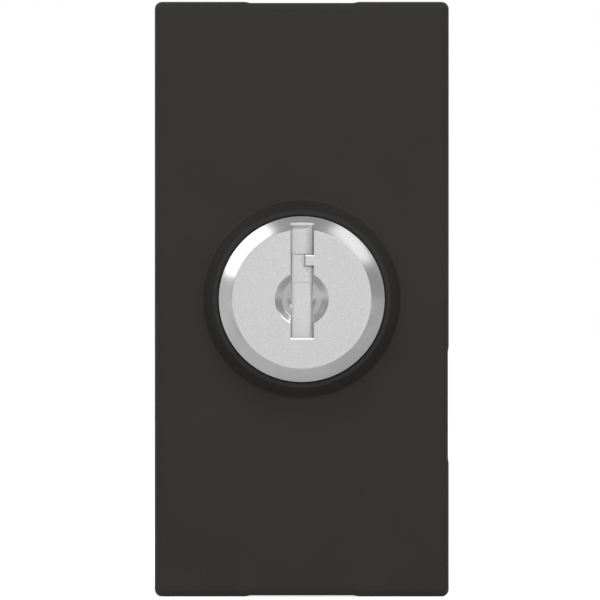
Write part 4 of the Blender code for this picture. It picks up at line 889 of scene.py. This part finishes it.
def make_housing():
    housing = make_housing_blank()
    rear = housing_high.y - HOUSING_WALL / 2
    inner_z = HOUSING_HALF_Z - HOUSING_WALL
    for level, up in (("bottom", -1), ("top", 1)):
        make_tab(housing, up)
        web_z = span(up * (TERMINAL_INNER - 2 * FIT), up * (inner_z + HOUSING_WALL / 2))
        join(housing, add_slab(centred(WEB_HALF), (WEB_FRONT_Y, rear), web_z))
        screw_low, screw_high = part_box(f"barrier_screw_{level}")
        pilot = [(PILOT_RADIUS, WEB_FRONT_Y - THROUGH), (PILOT_RADIUS, screw_high.y + FIT)]
        cut(housing, add_turned(pilot, SMALL_SIDES, "Y", (0.0, (screw_low.z + screw_high.z) / 2)))
        for side, right in (("left", -1), ("right", 1)):
            make_terminal_bay(housing, level, side)
            make_snap_lug(housing, right, up)
    soften_rims(housing, Y_AXIS, housing_high.y)
    soften_rims(housing, Z_AXIS, HOUSING_HALF_Z)
    soften_rims(housing, Z_AXIS, -HOUSING_HALF_Z)
    finish_piece(housing, "housing_shell", "casing", "rear_housing")
    return housing


def add_group(name, outputs):
    """A shader node group with float outputs that vary over the surface, and a Scale input."""
    group = bpy.data.node_groups.new(name, "ShaderNodeTree")
    scale = group.interface.new_socket(name="Scale", in_out="INPUT", socket_type="NodeSocketFloat")
    scale.default_value = 1.0
    for output in outputs:
        group.interface.new_socket(name=output, in_out="OUTPUT", socket_type="NodeSocketFloat")
    group.nodes.new("NodeGroupInput").name = "In"
    group.nodes.new("NodeGroupOutput").name = "Out"
    return group


def add_noise(group, scale, detail, roughness=0.5):
    """A noise on Object coordinates, whose scale is times the group's Scale input."""
    place = group.nodes.new("ShaderNodeTexCoord")
    noise = group.nodes.new("ShaderNodeTexNoise")
    noise.inputs["Detail"].default_value = detail
    noise.inputs["Roughness"].default_value = roughness
    group.links.new(place.outputs["Object"], noise.inputs["Vector"])
    times = add_math(group, "MULTIPLY", group.nodes["In"].outputs["Scale"], scale)
    group.links.new(times, noise.inputs["Scale"])
    return noise.outputs["Fac"]


def add_math(tree, operation, first, second):
    node = tree.nodes.new("ShaderNodeMath")
    node.operation = operation
    for socket, value in zip(node.inputs, (first, second)):
        if isinstance(value, (int, float)):
            socket.default_value = value
        else:
            tree.links.new(value, socket)
    return node.outputs[0]


def add_range(tree, value, source, target):
    """A value carried from one range to another."""
    node = tree.nodes.new("ShaderNodeMapRange")
    node.inputs["From Min"].default_value = source[0]
    node.inputs["From Max"].default_value = source[1]
    node.inputs["To Min"].default_value = target[0]
    node.inputs["To Max"].default_value = target[1]
    tree.links.new(value, node.inputs["Value"])
    return node.outputs["Result"]


def make_moulded_grain():
    """Spark-eroded mould texture: fine pits, and slow changes of tone from the flow of the plastic."""
    group = add_group("moulded_grain", ("Pits", "Flow"))
    out = group.nodes["Out"]
    group.links.new(add_noise(group, PIT_SCALE, detail=3.0, roughness=0.6), out.inputs["Pits"])
    group.links.new(add_noise(group, FLOW_SCALE, detail=2.0), out.inputs["Flow"])
    return group


def make_metal_grain():
    """Fine blasted grain on metal, and slow smudges from handling."""
    group = add_group("metal_grain", ("Grain", "Smudge"))
    out = group.nodes["Out"]
    group.links.new(add_noise(group, BLAST_SCALE, detail=2.0, roughness=0.7), out.inputs["Grain"])
    group.links.new(add_noise(group, SMUDGE_SCALE, detail=3.0), out.inputs["Smudge"])
    return group


def make_turning_lines():
    """Tool lines round the lock's axis, by the distance from it."""
    group = add_group("turning_lines", ("Lines",))
    place = group.nodes.new("ShaderNodeTexCoord")
    split = group.nodes.new("ShaderNodeSeparateXYZ")
    group.links.new(place.outputs["Object"], split.inputs["Vector"])
    squares = [add_math(group, "POWER", split.outputs[axis], 2.0) for axis in ("X", "Z")]
    radius = add_math(group, "SQRT", add_math(group, "ADD", *squares), 0.0)
    where = add_math(group, "ADD", radius, split.outputs["Y"])
    noise = group.nodes.new("ShaderNodeTexNoise")
    noise.noise_dimensions = "1D"
    noise.inputs["Detail"].default_value = 3.0
    times = add_math(group, "MULTIPLY", group.nodes["In"].outputs["Scale"], LINE_SCALE)
    group.links.new(where, noise.inputs["W"])
    group.links.new(times, noise.inputs["Scale"])
    group.links.new(noise.outputs["Fac"], group.nodes["Out"].inputs["Lines"])
    return group


def new_material(name):
    """A new material, its node tree and its Principled shader."""
    material = bpy.data.materials.new(name)
    material.use_nodes = True
    return material, material.node_tree, material.node_tree.nodes["Principled BSDF"]


def place_group(tree, group, scale=1.0):
    node = tree.nodes.new("ShaderNodeGroup")
    node.node_tree = group
    node.inputs["Scale"].default_value = scale
    return node


def add_colours(tree, factor, first, second):
    mix = tree.nodes.new("ShaderNodeMix")
    mix.data_type = "RGBA"
    mix.inputs["A"].default_value = (*first, 1.0)
    mix.inputs["B"].default_value = (*second, 1.0)
    tree.links.new(factor, mix.inputs["Factor"])
    return mix.outputs["Result"]


def add_bump(tree, shader, height, strength, distance):
    bump = tree.nodes.new("ShaderNodeBump")
    bump.inputs["Strength"].default_value = strength
    bump.inputs["Distance"].default_value = distance
    tree.links.new(height, bump.inputs["Height"])
    tree.links.new(bump.outputs["Normal"], shader.inputs["Normal"])


def make_plastic(name, dark, light, roughness, specular, bump=0.3, scale=1.0):
    """A moulded plastic between two near tones."""
    material, tree, shader = new_material(name)
    grain = place_group(tree, moulded_grain, scale)
    tone = add_math(tree, "ADD", grain.outputs["Flow"], grain.outputs["Pits"])
    tone = add_range(tree, tone, SUM_RANGE, (0.0, 1.0))
    tree.links.new(add_colours(tree, tone, dark, light), shader.inputs["Base Color"])
    gloss = add_range(tree, grain.outputs["Pits"], NOISE_RANGE, roughness)
    tree.links.new(gloss, shader.inputs["Roughness"])
    shader.inputs["Specular IOR Level"].default_value = specular
    add_bump(tree, shader, grain.outputs["Pits"], bump, PIT_DEPTH)
    return material


def make_metal(name, dark, light, roughness, bump, lines=False):
    """A metal between two near tones, with blasted grain or turning lines."""
    material, tree, shader = new_material(name)
    shader.inputs["Metallic"].default_value = 1.0
    grain = place_group(tree, metal_grain)
    height = grain.outputs["Grain"]
    if lines:
        height = place_group(tree, turning_lines).outputs["Lines"]
    tone = add_range(tree, height, NOISE_RANGE, (0.0, 1.0))
    tree.links.new(add_colours(tree, tone, dark, light), shader.inputs["Base Color"])
    gloss = add_range(tree, grain.outputs["Smudge"], NOISE_RANGE, roughness)
    tree.links.new(gloss, shader.inputs["Roughness"])
    add_bump(tree, shader, height, bump, BLAST_DEPTH)
    return material


def dress(piece, *materials):
    piece.data.materials.clear()
    for material in materials:
        piece.data.materials.append(material)


def assign(piece, material, test):
    """Gives one of a piece's materials to the faces that pass a test."""
    index = piece.data.materials.find(material.name)
    for face in piece.data.polygons:
        if test(face):
            face.material_index = index


def grey(tone):
    return (tone, tone, tone)


def make_floor_material():
    """A matt white that also glows, evenly to the camera and, for mirrored rays only, in tones set by place:
    painted reflections in the metal.
    """
    material = bpy.data.materials.new("pale_floor")
    material.use_nodes = True
    tree = material.node_tree
    tree.nodes.remove(tree.nodes["Principled BSDF"])
    matt = tree.nodes.new("ShaderNodeBsdfDiffuse")
    matt.inputs["Color"].default_value = FLOOR_TONE
    glow = tree.nodes.new("ShaderNodeEmission")
    path = tree.nodes.new("ShaderNodeLightPath")
    place = tree.nodes.new("ShaderNodeTexCoord")
    split = tree.nodes.new("ShaderNodeSeparateXYZ")
    tree.links.new(place.outputs["Object"], split.inputs["Vector"])
    ahead = add_math(tree, "SUBTRACT", FACE_Y, split.outputs["Y"])
    far = add_range(tree, ahead, *FLOOR_FAR)
    close = add_range(tree, ahead, *FLOOR_CLOSE)
    left = add_range(tree, split.outputs["X"], *FLOOR_LEFT)
    right = add_range(tree, split.outputs["X"], *FLOOR_RIGHT)
    right = add_math(tree, "MULTIPLY", right, add_range(tree, ahead, *FLOOR_RIGHT_END))
    shade = add_math(tree, "ADD", add_math(tree, "ADD", far, close), add_math(tree, "ADD", left, right))
    mirrored = add_math(tree, "MULTIPLY", path.outputs["Is Glossy Ray"], shade)
    straight = add_math(tree, "MULTIPLY", path.outputs["Is Camera Ray"], FLOOR_SEEN)
    tree.links.new(add_math(tree, "ADD", mirrored, straight), glow.inputs["Strength"])
    both = tree.nodes.new("ShaderNodeAddShader")
    tree.links.new(matt.outputs[0], both.inputs[0])
    tree.links.new(glow.outputs[0], both.inputs[1])
    tree.links.new(both.outputs[0], tree.nodes["Material Output"].inputs["Surface"])
    return material


def make_floor():
    """A pale floor that reads as white and keeps the shadow."""
    bpy.ops.object.select_all(action="DESELECT")
    place = (0, 0, cad_box[0].z - FLOOR_GAP)
    bpy.ops.mesh.primitive_circle_add(
        vertices=FLOOR_SIDES, radius=FLOOR_RADIUS, fill_type="NGON", location=place
    )
    floor = bpy.context.object
    floor.name = "floor"
    settle()
    dress(floor, make_floor_material())


def seen_rays(tree):
    """1 for rays from the camera, off metal or through glass, and 0 for light."""
    path = tree.nodes.new("ShaderNodeLightPath")
    seen = add_math(tree, "MAXIMUM", path.outputs["Is Camera Ray"], path.outputs["Is Glossy Ray"])
    return add_math(tree, "MAXIMUM", seen, path.outputs["Is Transmission Ray"])


def make_world():
    """A dim even room for light; the camera and the metal see a white back, pale sides and a bright front."""
    world = bpy.data.worlds.new("studio")
    bpy.context.scene.world = world
    world.use_nodes = True
    tree = world.node_tree
    room = tree.nodes["Background"]
    room.inputs["Color"].default_value = WHITE
    room.inputs["Strength"].default_value = ROOM_LIGHT
    way = tree.nodes.new("ShaderNodeTexCoord")
    split = tree.nodes.new("ShaderNodeSeparateXYZ")
    tree.links.new(way.outputs["Generated"], split.inputs["Vector"])
    slant = add_math(tree, "MULTIPLY", split.outputs["X"], ROOM_SLANT[0])
    rise = add_math(tree, "MULTIPLY", split.outputs["Z"], ROOM_SLANT[1])
    dusk = add_range(tree, add_math(tree, "ADD", slant, rise), *ROOM_DUSK)
    beside = add_range(tree, split.outputs["Y"], *ROOM_BESIDE)
    sides = add_math(tree, "ADD", add_math(tree, "MULTIPLY", dusk, beside), ROOM_SIDES)
    behind = add_range(tree, split.outputs["Y"], *ROOM_BEHIND)
    front = add_range(tree, split.outputs["Y"], *ROOM_FRONT)
    white = add_math(tree, "MAXIMUM", sides, add_math(tree, "MAXIMUM", behind, front))
    seen = tree.nodes.new("ShaderNodeBackground")
    seen.inputs["Color"].default_value = WHITE
    tree.links.new(white, seen.inputs["Strength"])
    mix = tree.nodes.new("ShaderNodeMixShader")
    tree.links.new(seen_rays(tree), mix.inputs["Fac"])
    tree.links.new(room.outputs[0], mix.inputs[1])
    tree.links.new(seen.outputs[0], mix.inputs[2])
    tree.links.new(mix.outputs[0], tree.nodes["World Output"].inputs["Surface"])


def add_softbox(name, place, size, radiance, lights=True, shows=True):
    """A lamp of this radiance that faces the lock, which lights plastic, shows in metal, or both."""
    bpy.ops.object.light_add(type="AREA", location=place)
    lamp = bpy.context.object
    lamp.name = name
    lamp.data.shape = "RECTANGLE"
    lamp.data.size, lamp.data.size_y = size
    lamp.data.energy = radiance * math.pi * size[0] * size[1]
    lamp.rotation_mode = "QUATERNION"
    lamp.rotation_quaternion = (-Vector(place)).to_track_quat("-Z", "Y")
    lamp.visible_camera = False
    lamp.visible_diffuse = lights
    lamp.visible_glossy = shows


def make_camera():
    bpy.ops.object.camera_add(location=(FRAME_CENTRE[0], FACE_Y - CAMERA_DISTANCE, FRAME_CENTRE[1]))
    camera = bpy.context.object
    camera.rotation_euler = (math.pi / 2, 0, 0)
    camera.data.lens = camera.data.sensor_width * CAMERA_DISTANCE / FRAME_WIDTH
    camera.data.clip_start, camera.data.clip_end = CAMERA_CLIP
    bpy.context.scene.camera = camera


moulded_grain = make_moulded_grain()
metal_grain = make_metal_grain()
turning_lines = make_turning_lines()

black_plastic = make_plastic(
    "black_cover", (0.0244, 0.0232, 0.0205), (0.0298, 0.0284, 0.0253), roughness=(0.46, 0.56), specular=0.15
)
grey_plastic = make_plastic(
    "grey_casing", (0.05, 0.05, 0.052), (0.062, 0.062, 0.064),
    roughness=(0.5, 0.62), specular=0.3, bump=0.4, scale=0.7,
)
ivory_plastic = make_plastic(
    "ivory_insulation", (0.58, 0.56, 0.49), (0.66, 0.64, 0.58), roughness=(0.42, 0.55), specular=0.4
)
white_plastic = make_plastic(
    "white_slider", (0.70, 0.70, 0.68), (0.78, 0.78, 0.76), roughness=(0.36, 0.46), specular=0.4
)
blasted_nickel = make_metal("blasted_nickel", grey(0.50), grey(0.69), roughness=(0.5, 0.53), bump=0.5)
# Lighter copy of the blasted nickel for the flap and the recess floor: painted light that offsets the shade
# in the slot
slot_floor_nickel_painted_lighter = make_metal("slot_floor_nickel_painted_lighter", grey(0.526), grey(0.719), roughness=(0.5, 0.53), bump=0.5)
polished_nickel = make_metal("polished_nickel", grey(0.41), grey(0.45), roughness=(0.18, 0.26), bump=0.05)
# Darker copy of the polished nickel: painted shade in the dimple
dimple_nickel_painted_shade = make_metal("dimple_nickel_painted_shade", grey(0.37), grey(0.41), roughness=(0.18, 0.24), bump=0.05)
# Brighter copy of the nickel: painted highlight on the slot's heel, toe, the ward's brow and upward chamfers
painted_highlight_nickel = make_metal("painted_highlight_nickel", grey(0.80), grey(0.86), roughness=(0.2, 0.28), bump=0.05)
turned_nickel = make_metal(
    "turned_nickel", grey(0.5), grey(0.58), roughness=(0.2, 0.3), bump=0.12, lines=True
)
plated_steel = make_metal(
    "plated_steel", (0.50, 0.51, 0.53), (0.60, 0.61, 0.63), roughness=(0.24, 0.34), bump=0.1
)
spring_steel = make_metal(
    "spring_steel", (0.38, 0.38, 0.40), (0.46, 0.46, 0.48), roughness=(0.22, 0.32), bump=0.08
)
brass = make_metal("brass", (0.62, 0.45, 0.19), (0.76, 0.58, 0.28), roughness=(0.24, 0.36), bump=0.12)
copper_alloy = make_metal(
    "copper_alloy", (0.64, 0.36, 0.21), (0.76, 0.46, 0.30), roughness=(0.24, 0.36), bump=0.1
)
silver = make_metal("silver", (0.76, 0.76, 0.74), (0.86, 0.86, 0.84), roughness=(0.14, 0.22), bump=0.06)

finish_of_slot = {
    "black_cover": black_plastic,
    "grey_casing": grey_plastic,
    "ivory_insulation": ivory_plastic,
    "white_slider": white_plastic,
    "satin_nickel": turned_nickel,
    "plated_steel": plated_steel,
    "spring_steel": spring_steel,
    "brass": brass,
    "copper_alloy": copper_alloy,
    "silver": silver,
}
for part in frame["record"]["subparts"]:
    dress(frame["nodes"][part["node"]], finish_of_slot[part["material_slot"]])

cover = make_cover()
dress(cover, black_plastic)

rotor = make_rotor()
dress(rotor, turned_nickel, blasted_nickel, polished_nickel, painted_highlight_nickel, slot_floor_nickel_painted_lighter, dimple_nickel_painted_shade)
assign(rotor, blasted_nickel, on_front)
assign(rotor, polished_nickel, on_polish)
# Painted shade: the dimple's slope gets the darker copy of the nickel
assign(rotor, dimple_nickel_painted_shade, on_dimple)
# Painted light: the recess floor gets the lighter copy of the nickel, to offset the slot's shade
assign(rotor, slot_floor_nickel_painted_lighter, in_recess)
# Painted highlight on the heel and on the slopes and chamfers that look up
assign(rotor, painted_highlight_nickel, gets_painted_highlight)

shutter = make_shutter()
# The flap also gets the lighter copy: painted light in the slot
dress(shutter, slot_floor_nickel_painted_lighter)

leaf = make_shutter_leaf()
dress(leaf, spring_steel)

for side in ("left", "right"):
    coil = make_return_coil(side)
    dress(coil, spring_steel)

housing = make_housing()
dress(housing, grey_plastic)

make_floor()
make_world()
add_softbox("front_softbox", (0.22, -0.66, 0.54), (0.42, 0.38), 2.4)
add_softbox("upper_left_softbox", (-0.43, -0.14, 0.39), (0.26, 0.5), 2.8, lights=False)
add_softbox("upper_right_softbox", (0.39, -0.14, 0.43), (0.24, 0.4), 1.4, lights=False)
add_softbox("right_softbox", (0.46, -0.67, 0.39), (0.24, 0.24), 2.05, lights=False)
add_softbox("camera_softbox", (0.0, -1.1, 0.12), (0.5, 0.5), 4.8, shows=False)
add_softbox("overhead_softbox", (0.0, -0.3, 0.75), (0.5, 0.4), 2.2, shows=False)
make_camera()
bpy.context.scene.view_settings.view_transform = "Standard"
